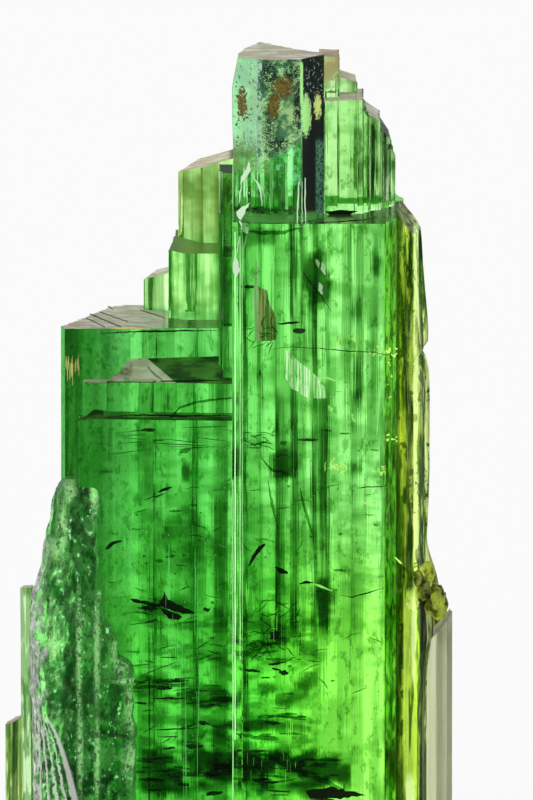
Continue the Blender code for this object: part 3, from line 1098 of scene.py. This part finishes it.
def front_marks(stone, above):
    """Specks, pits and rust on the tip's front, with a painted glow on the pits and the rust, and a painted
    teal gleam.
    """
    scattered = stone.product(stone.ahead, stone.where(fine=(0.40, 0.37)), stone.patch(225, 300, 56, 160))
    stone.coat(scattered, (0.02, 0.07, 0.06), 0.4, 0.3, BLACK)
    top_line = stone.product(stone.ahead, stone.patch(262, 303, 59, 62.5, end_soft=0.8))
    stone.coat(top_line, (0.01, 0.04, 0.03), 0.4, 0.2)
    pitted = stone.product(stone.ahead, stone.patch(256, 262, 56, 165, 0.6))
    stone.coat(stone.product(pitted, stone.where(fine=(0.44, 0.5))), (0.02, 0.08, 0.07), 0.4, 0.4)
    # Painted glow on the pits' paler grains.
    stone.painted_glow(stone.product(pitted, stone.where(fine=(0.52, 0.57))), (0.35, 0.55, 0.42))
    # The rust gets a faint painted glow.
    rust = stone.product(stone.ahead, stone.spots(TIP_RUST, stone.ragged, 0.15), 0.95)
    brown = stone.mix(stone.where(fine=(0.38, 0.62)), (0.05, 0.022, 0.002), (0.26, 0.15, 0.01))
    stone.coat(rust, brown, 0.7, 0.25, (0.06, 0.03, 0.0))
    # Painted highlight: a teal gleam, emitted below the etched part.
    teal = stone.product(
        stone.ahead, stone.patch(270, 302, 140, 186, 2, 6), stone.less(above, 1.0),
        stone.where(flecks=(0.5, 0.62)))
    stone.painted_glow(teal, (0.12, 0.42, 0.2))


def right_face(stone):
    """The near-black right face of the tip, with its pale strip, pits and slate part."""
    right = stone.product(stone.ahead, stone.patch(302, 326, 56, 214))
    stone.coat(right, (0.002, 0.008, 0.008), 0.3, 0.04, BLACK)
    # The strip, the pits, the yellow spot and the slate part each get a painted glow.
    strip = stone.product(stone.ahead, stone.most(
        stone.patch(300, 303, 64, 105, 0.6),
        stone.spot(306, 116, 5, 20, stone.product(stone.ragged, 0.6), 0.15)))
    stone.coat(strip, (0.5, 0.62, 0.36), 0.25, 0.85, (0.18, 0.28, 0.10))
    pits = stone.product(right, stone.where(fine=(0.60, 0.64)), stone.rows(62, 104, 8))
    stone.coat(pits, (0.4, 0.5, 0.4), 0.5, 0.6, (0.15, 0.24, 0.16))
    yellow = stone.product(stone.ahead, stone.spot(318, 108, 3.5, 12, stone.ragged, 0.1))
    stone.coat(yellow, (0.6, 0.6, 0.2), 0.5, 0.6, (0.3, 0.3, 0.08))
    slate = stone.product(
        stone.ahead, stone.patch(316, 325, 142, 216, end_soft=4), stone.where(fine=(0.45, 0.5)))
    stone.coat(slate, (0.10, 0.22, 0.20), 0.3, 0.7, (0.02, 0.06, 0.05))


def tip_stone():
    stone = Stone("tip_stone", STONE_LOSS, TRUNK_FRONT, 3.0, blur=0.06)
    stone.colour = (0.42, 0.78, 0.46)
    stone.paint_shade_behind(spots=TIP_PAINTED_SHADE_SPOTS)
    stone.end_faces()
    stone.ahead = stone.where(facing_y=(-0.05, -0.25))
    stone.fine = stone.noise(6.0, detail=3.0, rough=0.75, offset=(7.0, 2.0, 0.0))
    stone.coarse = stone.noise(1.8, detail=3.0, rough=0.65, offset=(1.0, 8.0, 3.0))
    stone.ragged = stone.between(stone.fine, 0.3, 0.7, -0.8, 0.8)
    above = above_etched_edge(stone)
    etched_front(stone, above)
    front_marks(stone, above)
    right_face(stone)
    return stone.done()


# Stone of the foot


# Painted highlights on the foot's pale ridges: column, row, half width, half height
FOOT_RIDGE_HIGHLIGHTS = [
    (94, 497, 4, 26), (101, 570, 4, 34), (97, 650, 3, 50), (79, 650, 3, 60), (80, 750, 3, 46),
    (62, 530, 5, 24), (56, 550, 7, 10), (70, 492, 6, 12), (97, 760, 3, 40), (54, 645, 7, 14),
    (82, 622, 3, 6), (50, 622, 3, 5), (133, 710, 8, 26), (132, 765, 9, 22), (120, 655, 9, 22),
    (128, 682, 14, 3),
]
# Painted shade in the foot's hollows: column, row, half width, half height, share of the light taken
FOOT_SHADES = [
    (72, 527, 11, 12, 0.9), (88, 540, 10, 8, 0.7), (112, 560, 8, 20, 0.7), (60, 605, 12, 34, 0.7),
    (58, 690, 14, 26, 0.8), (88, 690, 8, 20, 0.7), (62, 775, 18, 18, 0.95), (95, 785, 20, 14, 0.95),
    (112, 700, 10, 30, 0.5), (100, 735, 30, 5, 0.7),
]
# Where the foot's pale fan begins
FAN_ROOT = (36, 712)


def foot_fan(stone, foot, crumbs):
    """Pale strands that spread downwards from a point, with a painted glow."""
    root = seen_at(*FAN_ROOT, TRUNK_FRONT)
    over = stone.math("SUBTRACT", stone.x, root.x)
    down = stone.most(stone.math("SUBTRACT", root.z, stone.level), 0.05)
    spread = stone.math("DIVIDE", over, stone.math("POWER", down, 0.5))
    fan = stone.product(
        foot, stone.window(spread, -0.5, 1.0, 0.04), stone.between(down, 0.06, 0.5),
        stone.where(y=(-2.5, -3.5)))
    wave = stone.math("SINE", stone.math("ADD", stone.product(spread, 33.0), stone.product(crumbs, 9.0)))
    stone.coat(stone.product(fan, stone.between(crumbs, 0.55, 0.4)), (0.01, 0.05, 0.01), 0.5, 0.7)
    lines = stone.most(stone.between(wave, 0.3, 0.8), stone.window(spread, 0.84, 1.0, 0.05))
    # The pale strands carry a painted glow.
    stone.coat(stone.product(fan, lines), (0.78, 0.77, 0.74), 0.6, 0.35, (0.17, 0.17, 0.16))


def foot_stone():
    """The mottled, ridged and frosted stone of the chipped foot, with painted shade in its hollows and
    painted highlights on its ridges.
    """
    stone = Stone("foot_stone", STONE_LOSS, TRUNK_FRONT, 27.0, blur=0.2)
    stone.colour = (0.85, 0.97, 0.87)
    ahead = stone.math("SUBTRACT", stone.y, stone.between(stone.z, 22.8, 23.5, 0.0, 1.2))
    foot = stone.most(
        stone.product(stone.between(ahead, -4.6, -4.66), stone.where(x=(-4.1, -4.3))),
        stone.where(x=(-8.6, -8.66)))
    patches = stone.noise(1.2, stretch=(1.0, 1.0, 0.6), detail=4.0, rough=0.7, offset=(2.0, 0.0, 5.0))
    crumbs = stone.noise(3.2, stretch=(1.0, 1.0, 0.7), detail=3.0, rough=0.7, offset=(5.0, 1.0, 0.0))
    ragged = stone.between(crumbs, 0.3, 0.7, -1.5, 1.5)
    mottled = stone.mix(stone.between(patches, 0.42, 0.56), (0.03, 0.32, 0.05), (0.55, 1.0, 0.52))
    stone.coat(foot, mottled, 0.35, 0.97)
    # Painted shade in the hollows: a near-black coat.
    hollows = stone.most(
        stone.between(crumbs, 0.46, 0.40, 0.0, 0.8), stone.spots(FOOT_SHADES, ragged, 0.4))
    stone.coat(stone.product(foot, hollows), (0.002, 0.025, 0.006), 0.4, 0.8)
    # Painted highlight: the ridges get a pale coat and a glow.
    ridge_highlights = stone.spots(FOOT_RIDGE_HIGHLIGHTS, ragged, 0.4)
    ridges = stone.product(foot, ridge_highlights, stone.between(crumbs, 0.40, 0.56, 0.1, 1.0))
    stone.coat(ridges, (0.50, 0.72, 0.38), 0.5, 0.75, (0.24, 0.50, 0.18))
    # Painted glints: a glow where the crumbled grain is highest.
    painted_glints = stone.product(foot, stone.between(crumbs, 0.61, 0.68))
    stone.painted_glow(painted_glints, (0.26, 0.58, 0.26))
    edge = stone.math("ADD", stone.x, stone.between(patches, 0.35, 0.65, -0.4, 0.4))
    rim = stone.product(foot, stone.between(edge, -9.25, -9.5))
    frost = stone.mix(stone.between(crumbs, 0.4, 0.6), (0.34, 0.40, 0.32), (0.93, 0.88, 0.92))
    stone.coat(rim, frost, 0.6, 0.25)
    foot_fan(stone, foot, crumbs)
    return stone.done()


# Stone of the right rim, the knot and the outer crystals

# Painted shade: upright dark bands of the rim, above and beside the knot, in the order of the trunk's bands
RIM_PAINTED_SHADE_BANDS = [(393, 402, 1.5, 0.8), (408, 412, 1.5, 0.9), (420.5, 424, 1, 0.85)]
LOW_RIM_PAINTED_SHADE_BANDS = [(393, 402, 2, 0.8), (420, 428, 1, 0.85)]


def rim_stone():
    stone = Stone("rim_stone", (0.05, 0.03, 0.30), TRUNK_FRONT, 13.0, blur=0.15)
    stone.colour = (0.68, 0.74, 0.40)
    ahead = stone.between(stone.facing_y, 0.2, -0.1)
    patches = stone.noise(1.1, stretch=(1.0, 1.0, 0.3), detail=4.0, offset=(2.0, 6.0, 5.0))
    stripes = stone.noise(3.2, stretch=(1.0, 0.3, 0.08), detail=3.0, rough=0.6, offset=(4.0, 1.0, 0.0))
    blotches = stone.noise(1.7, stretch=(1.0, 1.0, 0.7), detail=4.0, rough=0.65, offset=(1.0, 3.0, 7.0))
    across = stone.math("ADD", stone.x, stone.between(patches, 0.3, 0.7, -0.16, 0.16))
    foot = stone.rows(592, 1200, 5)
    # Painted shade: dark bands on the rim's front.
    bands = stone.product(ahead, stone.most(
        stone.product(stone.bands(RIM_PAINTED_SHADE_BANDS, across), stone.less(foot, 1.0)),
        stone.product(stone.bands(LOW_RIM_PAINTED_SHADE_BANDS, across), foot)))
    # Painted highlight: a pale coat on the rim's outer edge.
    stone.coat(stone.where(x=(9.66, 9.78)), (0.62, 0.62, 0.50), 0.45, 0.75)
    # Painted shadow: a near-black patch below the knot.
    stone.coat(stone.patch(422, 450, 600, 650, end_soft=5), (0.03, 0.045, 0.002), 0.4, 0.7)
    stone.end_faces((0.45, 0.42, 0.2), (0.7, 0.68, 0.4))
    rib_zone = stone.product(foot, stone.columns(404, 420))
    dark = stone.most(
        bands, stone.product(ahead, stone.between(stripes, 0.48, 0.38), 0.8),
        stone.product(ahead, stone.between(blotches, 0.48, 0.40), stone.less(rib_zone, 0.8), 0.8))
    kept = stone.less(dark, 1.0)
    stone.darken(stone.product(kept, kept))
    # Painted glow on the pale stripes and on the yellow rib.
    pale = stone.product(ahead, stone.between(stripes, 0.46, 0.6), kept)
    stone.painted_glow(pale, stone.mix(stone.columns(413, 432), (0.13, 0.18, 0.015), (0.34, 0.42, 0.16)))
    stone.painted_glow(stone.product(rib_zone, ahead, kept), (0.26, 0.40, 0.05))
    # Painted highlight: pale glowing streaks down the yellow rib and the rim above it.
    lit = stone.most(
        stone.spot(414, 640, 2.5, 46), stone.spot(410, 795, 5, 20), stone.patch(414, 419, 230, 560))
    rib = stone.product(lit, ahead, stone.less(dark, 0.9))
    stone.coat(rib, (0.7, 0.74, 0.6), 0.3, 0.85, (0.52, 0.68, 0.26))
    return stone.done()


def knot_stone():
    stone = Stone("knot_stone", (0.1, 0.08, 0.7), TRUNK_FRONT, 17.0)
    # Painted shade and glow: brown patches placed by noise stand for the lumps' shade, and the yellow ones
    # glow.
    patches = stone.noise(1.3, detail=3.0, offset=(2.0, 6.0, 5.0))
    light = stone.between(patches, 0.38, 0.56)
    stone.coat(1.0, stone.mix(light, (0.05, 0.04, 0.003), (0.55, 0.60, 0.14)), 0.35, 0.9)
    stone.painted_glow(light, (0.10, 0.13, 0.012))
    return stone.done()


def side_stone():
    """The finely striped stone of the crystal at the right, coated grey-green as a painted reflection of the
    pale surroundings on its slanting face.
    """
    stone = Stone("side_stone", (0.05, 0.04, 0.10), TRUNK_FRONT, 19.0)
    stripes = stone.noise(2.6, stretch=(1.0, 1.0, 0.02), detail=3.0, rough=0.6, offset=(3.0, 0.0, 0.0))
    # Painted reflection: the grey coat stands for the pale light its face reflects.
    grey = stone.mix(stone.between(stripes, 0.35, 0.62), (0.71, 0.73, 0.52), (0.87, 0.89, 0.70))
    stone.coat(1.0, grey, 0.45, 0.82)
    lines = stone.most(stone.columns(437, 438.5, 0.8), stone.columns(445, 446, 0.6))
    stone.coat(stone.product(lines, 0.4), (0.25, 0.28, 0.20), 0.3, 0.5)
    stone.coat(stone.product(stone.columns(425, 430), 0.8), (0.60, 0.74, 0.45), 0.3, 0.9)
    stone.end_faces()
    return stone.done(0.7)


def needle_stone(name, tint, seed):
    stone = Stone(name, (0.4, 0.15, 0.5), LEFT_FRONT, seed)
    curves = stone.noise(1.8, stretch=(1.0, 1.0, 0.18), detail=3.0, offset=(seed, 0.0, 0.0))
    stone.coat(1.0, tint, 0.2, 0.9)
    stone.darken(stone.between(curves, 0.44, 0.5, 0.3, 1.0))
    stone.end_faces()
    return stone.done()


# What lies in the trunk and on its front

def trunk_dark_flaws():
    dark = Flaws("trunk_dark_flaws", 1)
    dark.leaf(249, 287, -4.4, 6, 0.9)
    dark.leaf(299, 331, -3.9, 7, 1.5, ragged=0.15)
    dark.speck(260, 373, -5.0, 1.8, 2.2)
    dark.trace([(277, 324), (288, 323), (300, 322)], -5.2, 3.0, 0.4)
    dark.leaf(308, 440, -4.6, 12, 0.7)
    dark.trace([(249, 566), (254, 556), (260, 548), (265, 544)], -5.2, 6.0)
    dark.trace([(275, 567), (281, 571), (288, 573)], -5.0, 6.0)
    dark.trace([(299, 584), (306, 582), (313, 583)], -5.0, 3.5)
    dark.trace([(310, 224), (318, 223), (340, 222), (362, 220), (378, 218)], -5.3, 1.6, 0.3)
    dark.torn([(325, 215), (341, 213.5), (358, 214.5), (350, 218), (330, 218.5)], -2.4, 0.4)
    dark.trace([(250, 208), (256, 209), (262, 207)], -5.2, 1.2, 0.3)
    dark.trace([(252, 209), (262, 212), (272, 215)], -5.2, 1.2, 0.3)
    dark.trace([(262, 211), (259, 218)], -5.2, 1.0)
    dark.trace([(340, 595), (352, 597), (366, 593), (384, 588)], -5.2, 1.6, 0.4)
    dark.trace([(356, 488), (368, 487), (386, 486)], -5.2, 1.6, 0.3)
    dark.trace([(270, 349), (292, 347), (318, 348), (345, 351), (372, 352), (400, 358)], -5.2, 1.2, 0.4)
    dark.trace([(300, 265), (310, 283), (322, 297), (332, 312)], -5.1, 1.5, 0.5)
    dark.leaves(6, (243, 300), (640, 735), (-4.4, -3.0), (4, 12), 0.8)
    dark.leaves(8, (236, 330), (750, 800), (-4.2, -2.5), (6, 16), 1.1)
    dark.torn([(305, 791), (330, 787), (366, 795), (340, 799), (310, 798)], -4.8, 1.0)
    dark.torn([(270, 633), (276, 630), (281, 634), (277, 639), (271, 640)], -5.0, 1.0)
    # Painted shade: the cracks are real, but their opaque near-black stands for the shade they show.
    dark.finish(plain("dark_flaw", (0.002, 0.014, 0.003), 0.6))


# Zones of flat-lying veils: column and row of the middle, half width, number of veils
TRUNK_VEILS = ((262, 650, 22, 8), (290, 706, 16, 6), (270, 728, 26, 8), (285, 770, 50, 24))
LEFT_VEILS = ((165, 612, 30, 8), (160, 688, 30, 10), (205, 700, 24, 8), (180, 770, 48, 24))


def trunk_veils():
    veil = Flaws("trunk_veils", 11)
    veil.lace(26, (243, 276), (432, 449), (-5.3, -4.9), 3.0, 1.4, 0.35)
    veil.lace(16, (243, 286), (325, 358), (-5.3, -5.0), 3.0, 1.6, 0.8)
    veil.lace(46, (243, 300), (596, 660), (-5.3, -4.4), 3.2, 1.8, 0.6)
    veil.lace(10, (300, 384), (615, 690), (-5.3, -4.0), 4.0, 1.6, 0.4)
    veil.lace(12, (243, 384), (455, 600), (-5.2, -4.0), 3.5, 1.4, 0.6)
    veil.leaves(10, (243, 384), (380, 600), (-4.4, -2.0), (3, 9), 0.8)
    for column, row, spread, count in TRUNK_VEILS:
        across = (column - spread, column + spread)
        veil.leaves(count, across, (row - 12, row + 12), (-4.2, -2.0), (4, 18), 1.3)
    veil.trace([(244, 230), (262, 233), (284, 232), (300, 228)], -5.2, 5.0, 0.6)
    veil.trace([(300, 488), (303, 503), (307, 516), (312, 534)], -4.4, 4.0)
    veil.trace([(262, 458), (272, 470), (290, 474)], -4.6, 3.0, 1.0)
    veil.trace([(268, 480), (272, 505), (278, 530)], -4.8, 3.0, 0.5)
    veil.trace([(256, 752), (280, 762), (306, 774), (345, 790)], -4.6, 9.0, 1.5)
    veil.specks(24, (243, 384), (400, 760), (-5.2, -3.0), (0.8, 3.0), 0.6)
    veil.finish(plain("veil", (0.16, 0.36, 0.12), 0.1, clearness=1.0, bending=1.0))


def trunk_gleams():
    """The striped bright window, the brown blade and the pale spike, each with a painted glow."""
    window = Flaws("bright_window", 12)
    window.torn([
        (286, 350), (300, 362), (318, 377), (325, 387), (327, 398), (310, 399), (291, 388), (286, 378),
    ], -4.9, 0.6, 6.0)
    window.finish(striped("window", 5.5, (0.22, 0.70, 0.17), (0.75, 1.0, 0.62), 0.95))

    blade = Flaws("brown_blade", 13)
    blade.torn([(258, 286), (267, 290), (270, 305), (276, 318), (277, 340), (258, 341)], -5.1, 0.6, 6.0)
    blade.finish(striped("blade", 5.0, (0.08, 0.30, 0.02), (0.70, 0.58, 0.26), 0.42))

    spike = Flaws("pale_spike", 14)
    spike.torn([(256, 258), (257, 262), (258, 340), (255, 341), (254, 300)], -5.15, 0.3, 12.0)
    spike.finish(striped("spike", 1.2, (0.30, 0.55, 0.20), (0.95, 0.92, 0.82), 0.6))


def trunk_sparks():
    bright = Flaws("trunk_bright_flaws", 2)
    bright.trace([(306, 300), (307, 325), (308, 348)], -5.2, 1.0)
    bright.trace([(378, 395), (378, 415), (377, 435)], -5.0, 1.4)
    bright.trace([(376, 622), (377, 650), (376, 680)], -5.0, 1.6)
    bright.trace([(310, 583), (320, 586), (332, 591)], -5.0, 3.2)
    bright.trace([(320, 377), (328, 378), (336, 381)], -5.0, 2.4)
    bright.plate([(351, 413), (353, 414), (356, 422), (353, 422)], -5.0)
    bright.plate([(328, 405), (334, 409), (331, 412), (329, 412)], -5.0)
    bright.needles(5, (286, 296), (718, 724), (-5.3, -4.9), (12, 22), 0.9)
    bright.needles(8, (246, 256), (575, 600), (-5.3, -4.9), (15, 30), 0.8)
    bright.needles(4, (272, 290), (600, 615), (-5.3, -4.9), (15, 30), 0.8)
    bright.needles(12, (240, 300), (742, 775), (-5.3, -4.9), (6, 16), 0.4)
    bright.lace(5, (255, 300), (560, 660), (-5.3, -4.9), 2.2, 0.5, 0.4)
    bright.specks(50, (243, 384), (480, 740), (-5.3, -4.0), (0.3, 0.7))
    # Painted glints: the bright flaws glow.
    bright.finish(plain("bright_flaw", (0.40, 1.0, 0.24), 0.5, 0.75))

    sparks = Flaws("yellow_sparks", 18)
    sparks.specks(24, (370, 398), (346, 357), (-5.3, -4.8), (0.6, 1.8))
    sparks.specks(10, (388, 392), (355, 400), (-5.3, -4.8), (0.4, 1.2))
    sparks.specks(12, (384, 400), (435, 444), (-5.2, -4.8), (0.6, 1.8))
    sparks.specks(10, (380, 386), (458, 476), (-5.2, -4.8), (0.6, 2.0))
    sparks.needles(16, (314, 360), (333, 343), (-5.3, -5.1), (6, 14), 0.8)
    sparks.lace(7, (325, 346), (459, 476), (-5.1, -4.9), 3.0, 1.6, 0.5)
    sparks.trace([(363, 502), (368, 504), (373, 507)], -5.1, 3.0, 0.6)
    sparks.trace([(395, 558), (400, 563), (405, 567)], -4.9, 3.0)
    # Painted glints: the yellow sparks glow.
    sparks.finish(plain("yellow_spark", (0.62, 0.95, 0.20), 0.5, 0.8))


def white_chips():
    """Chips and scratches along the trunk's upper left edge, with a painted glow."""
    white = Flaws("white_chips", 3)
    white.torn(
        [(249, 161), (251, 169), (248, 175), (243, 181), (240, 186), (241, 177), (246, 170)], -5.3, 0.5, 2.0)
    white.torn(
        [(236, 212), (240, 208), (250, 203), (246, 210), (243, 217), (240, 220), (237, 216)], -5.3, 0.6, 2.0)
    white.torn([(239, 221), (243, 224), (249, 229), (247, 234), (242, 231)], -5.3, 0.6, 2.0)
    white.torn([(235, 256), (238, 262), (240, 271), (236, 278), (233, 272), (233, 262)], -5.3, 0.6, 2.0)
    white.trace([(247, 176), (247, 190), (247, 204)], -5.3, 1.3, 0.3)
    white.trace([(242, 184), (240, 194), (239, 204)], -5.3, 1.5, 0.3)
    white.trace([(246, 235), (245, 244), (244, 254)], -5.3, 1.4, 0.5)
    white.trace([(239, 236), (238, 246), (236, 256)], -5.3, 1.0, 0.5)
    white.trace([(252, 175), (258, 184), (261, 193), (262, 206)], -5.3, 1.8, 0.4)
    white.trace([(256, 180), (264, 192), (265, 208)], -5.3, 1.0, 0.4)
    white.trace([(262, 182), (269, 196), (271, 212)], -5.3, 0.8, 0.3)
    white.torn([(316, 258), (320, 263), (319, 268), (316, 264)], -5.2, 0.5, 2.0)
    white.torn([(322, 262), (326, 268), (325, 276), (321, 270)], -5.2, 0.6, 2.0)
    white.torn([(319, 282), (323, 286), (322, 295), (318, 290)], -5.2, 0.6, 2.0)
    white.specks(14, (236, 250), (165, 240), (-5.4, -5.2), (0.3, 0.9))
    white.trace([(299, 182), (298, 200), (297, 226)], -5.3, 1.6, 0.3, 0.3)
    white.trace([(302, 182), (302, 200), (302, 224)], -5.3, 0.8, 0.3, 0.3)
    white.trace([(305, 178), (305, 200), (306, 226)], -5.3, 1.4, 0.3, 0.3)
    white.trace([(295, 226), (301, 227), (308, 226)], -5.3, 1.4, 0.5)
    white.finish(plain("white_chip", (0.66, 0.92, 0.62), 0.5, 0.4))


# What lies in the left prisms and on their fronts

def left_dark_flaws():
    dark = Flaws("left_dark_flaws", 4, LEFT_FRONT)
    upper = Flaws("left_upper_flaws", 5, -2.5)
    step = Flaws("left_step_flaws", 6, -3.8)
    upper.trace([(95, 334), (130, 332), (175, 331), (218, 331)], -2.3, 2.2, 0.3)
    step.trace([(107, 382), (150, 382), (190, 381), (231, 380)], -3.7, 2.0, 0.3)
    upper.trace([(83, 381), (95, 380), (107, 382)], -2.4, 1.2, 0.3)
    dark.trace([(105, 417), (140, 415), (180, 416), (231, 416)], -4.4, 2.4, 0.4)
    dark.lace(20, (90, 231), (424, 450), (-4.4, -3.9), 9.0, 0.9, 0.08)
    dark.leaf(149, 430, -4.0, 8, 0.9)
    dark.trace([(168, 390), (168, 402), (168, 412)], -4.3, 1.0)
    dark.torn([(129, 598), (146, 601), (163, 605), (160, 608), (146, 605), (134, 602)], -4.3, 0.6)
    dark.torn([
        (158, 604), (163, 597), (165, 591), (168, 599), (181, 606), (197, 613), (184, 614), (170, 610),
    ], -4.25, 0.8)
    dark.torn([(160, 608), (170, 611), (182, 616), (178, 620), (169, 619), (163, 613)], -4.3, 0.8)
    dark.leaf(172, 681, -4.0, 14, 0.8)
    dark.leaf(164, 688, -4.0, 9, 1.0)
    dark.trace([(150, 699), (168, 698), (185, 699)], -4.3, 2.2, 0.4)
    dark.trace([(100, 731), (115, 734), (130, 738)], -4.3, 4.0, 0.8)
    dark.trace([(105, 549), (112, 544), (122, 541)], -4.3, 5.0, 0.8)
    dark.trace([(150, 730), (175, 729), (200, 728)], -4.3, 1.6, 0.5)
    dark.trace([(158, 492), (166, 489), (172, 487)], -4.3, 3.5, 0.4)
    dark.trace([(143, 500), (156, 497), (168, 493)], -4.3, 1.6, 0.8)
    dark.leaves(10, (120, 231), (600, 745), (-4.2, -2.0), (4, 12), 0.8)
    dark.leaves(10, (140, 231), (740, 800), (-4.2, -2.4), (6, 14), 1.2)
    # Painted shade: the cracks are real, but their opaque near-black stands for the shade they show.
    black = plain("left_dark_flaw", (0.002, 0.014, 0.004), 0.6)
    dark.finish(black)
    upper.finish(black)
    step.finish(black)


def left_veils():
    veil = Flaws("left_veils", 15, LEFT_FRONT)
    veil.lace(18, (105, 231), (480, 640), (-4.4, -3.4), 3.5, 1.5, 0.4)
    veil.lace(30, (110, 231), (640, 745), (-4.4, -3.4), 4.0, 2.0, 0.3)
    veil.leaves(12, (105, 231), (425, 600), (-4.0, -2.0), (3, 9), 0.8)
    for column, row, spread, count in LEFT_VEILS:
        across = (column - spread, column + spread)
        veil.leaves(count, across, (row - 12, row + 12), (-3.8, -1.5), (4, 16), 1.3)
    veil.specks(30, (110, 231), (480, 780), (-4.3, -2.5), (0.8, 3.0), 0.6)
    veil.trace([(170, 418), (180, 408), (197, 402), (215, 400), (231, 398)], -4.3, 3.0, 0.4, 0.3)
    veil.finish(plain("left_veil", (0.16, 0.36, 0.14), 0.1, clearness=1.0, bending=1.0))


def left_sparks():
    bright = Flaws("left_bright_flaws", 7, LEFT_FRONT)
    bright.needles(14, (125, 136), (512, 560), (-4.4, -4.0), (30, 60), 0.8)
    bright.needles(10, (163, 170), (535, 590), (-4.4, -4.0), (30, 60), 0.8)
    bright.needles(14, (168, 186), (610, 660), (-4.4, -4.0), (30, 60), 0.8)
    bright.needles(6, (183, 187), (640, 740), (-4.4, -4.1), (50, 90), 0.9)
    bright.needles(6, (195, 200), (490, 700), (-4.4, -4.1), (60, 120), 0.8)
    bright.needles(16, (110, 231), (470, 740), (-4.4, -3.6), (8, 30), 0.6)
    bright.lace(4, (120, 231), (500, 740), (-4.4, -4.0), 2.5, 0.5, 0.4)
    bright.specks(60, (105, 231), (440, 790), (-4.4, -3.6), (0.3, 0.8))
    bright.specks(20, (198, 226), (438, 452), (-4.4, -4.2), (0.4, 0.9))
    # Painted glints: the bright flaws glow.
    bright.finish(plain("left_bright_flaw", (0.30, 0.90, 0.34), 0.5, 0.6))


# Grooves on the left prism's end face: start, end and width in pixels
GROOVES = [
    ((90, 314), (121, 327), 0.7), ((86, 318), (105, 327), 0.5), ((108, 306), (113, 309), 0.5),
    ((100, 312), (128, 322), 0.3), ((140, 310), (165, 318), 0.4),
]


def left_marks():
    marks = Flaws("end_face_marks", 17)
    for start, end, width in GROOVES:
        marks.mark(start, end, width, LEFT_TOP + 0.01)
    marks.finish(plain("groove", (0.09, 0.08, 0.04), 0.6))


def left_flames():
    """Yellow gleams under the left prism's end face, painted as glowing needles, a line and specks."""
    flames = Flaws("left_flames", 16, -2.54)
    flames.needles(12, (66, 82), (352, 366), (-2.54, -2.52), (12, 24), 1.5)
    flames.trace([(110, 328.5), (130, 328), (150, 329)], -2.52, 2.0, 0.5)
    flames.specks(12, (143, 151), (338, 358), (-2.4, -2.2), (0.4, 1.0))
    flames.finish(plain("flame", (0.62, 0.56, 0.18), 0.5, 0.35))


def rib_lines():
    # Painted highlights: bright glowing lines down the trunk's rib.
    lines = Flaws("rib_lines", 8, -5.3)
    for column, top, bottom, width in ((235, 232, 740, 1.4), (240, 236, 660, 1.0), (232.8, 480, 800, 0.8)):
        for row in range(top, bottom, 60):
            end = min(row + 60, bottom)
            bow = [(column, row), (column + 0.3, (row + end) / 2), (column, end)]
            lines.trace(bow, -5.2, width, taper=0.3)
    lines.finish(plain("rib_line", (0.50, 1.0, 0.42), 0.4, 0.9))


# Everything in its place

camera()
world()
floor()
light_paths()

foot_levels = [-1.0 + FOOT_STEP * count for count in range(int((FOOT_TOP + 1.0) / FOOT_STEP) + 1)]
foot = rough_column(
    "foot", edge_table(FOOT_LEFT, -2.0), edge_table(FOOT_RIGHT, -4.9), FOOT_FRONT, FOOT_BACK,
    foot_levels, 96, 0.35, 5.0)
crystals = build_group("crystals", CRYSTALS, 10, [block("beside_tip", *BESIDE_TIP)])
under_foot = crystals.copy()
under_foot.data = crystals.data.copy()
under_foot.scale = FOOT_CLEARANCE
bpy.context.scene.collection.objects.link(under_foot)
combine(foot, [under_foot, below(0.0)], "DIFFERENCE")
show(crystals, crystal_stone())
show(foot, foot_stone())
tip = build_group("tip", TIP, 11, base=TIP_BASE, step=0.5)
follow_edge(tip, 1.2, edge_table(TIP_EDGE, -4.0), -1)
show(tip, tip_stone())

rim = build_group("rim", RIM_GROUP, 60, step=0.5)
follow_edge(rim, 8.6, edge_table(RIM_EDGE, -1.5), 1)
show(rim, rim_stone())

lumps = []
for count, (column, row, half_width, half_height, depth) in enumerate(KNOT):
    half_size = (half_width * PIXEL, 0.5, half_height * PIXEL)
    lumps.append(lump(f"lump_{count}", seen_at(column, row, depth), half_size, count * 3.0, 0.25))
show(combine(lumps[0], lumps[1:]), knot_stone())

show(build_group("side_crystal", SIDE_CRYSTAL, 70, step=0.8), side_stone(),
     "right_side_crystal")
show(build_group("needle_inner", NEEDLE_INNER, 80, step=0.5, back=0.08),
     needle_stone("inner_needle_stone", (0.66, 0.80, 0.56), 21.0), "left_needle_inner")
show(build_group("needle_outer", NEEDLE_OUTER, 90, step=0.5, back=0.08),
     needle_stone("outer_needle_stone", (0.85, 0.85, 0.45), 23.0), "left_needle_outer")

trunk_dark_flaws()
trunk_veils()
trunk_gleams()
trunk_sparks()
white_chips()
left_dark_flaws()
left_veils()
left_sparks()
left_marks()
left_flames()
rib_lines()

bpy.context.scene.view_settings.view_transform = "Standard"
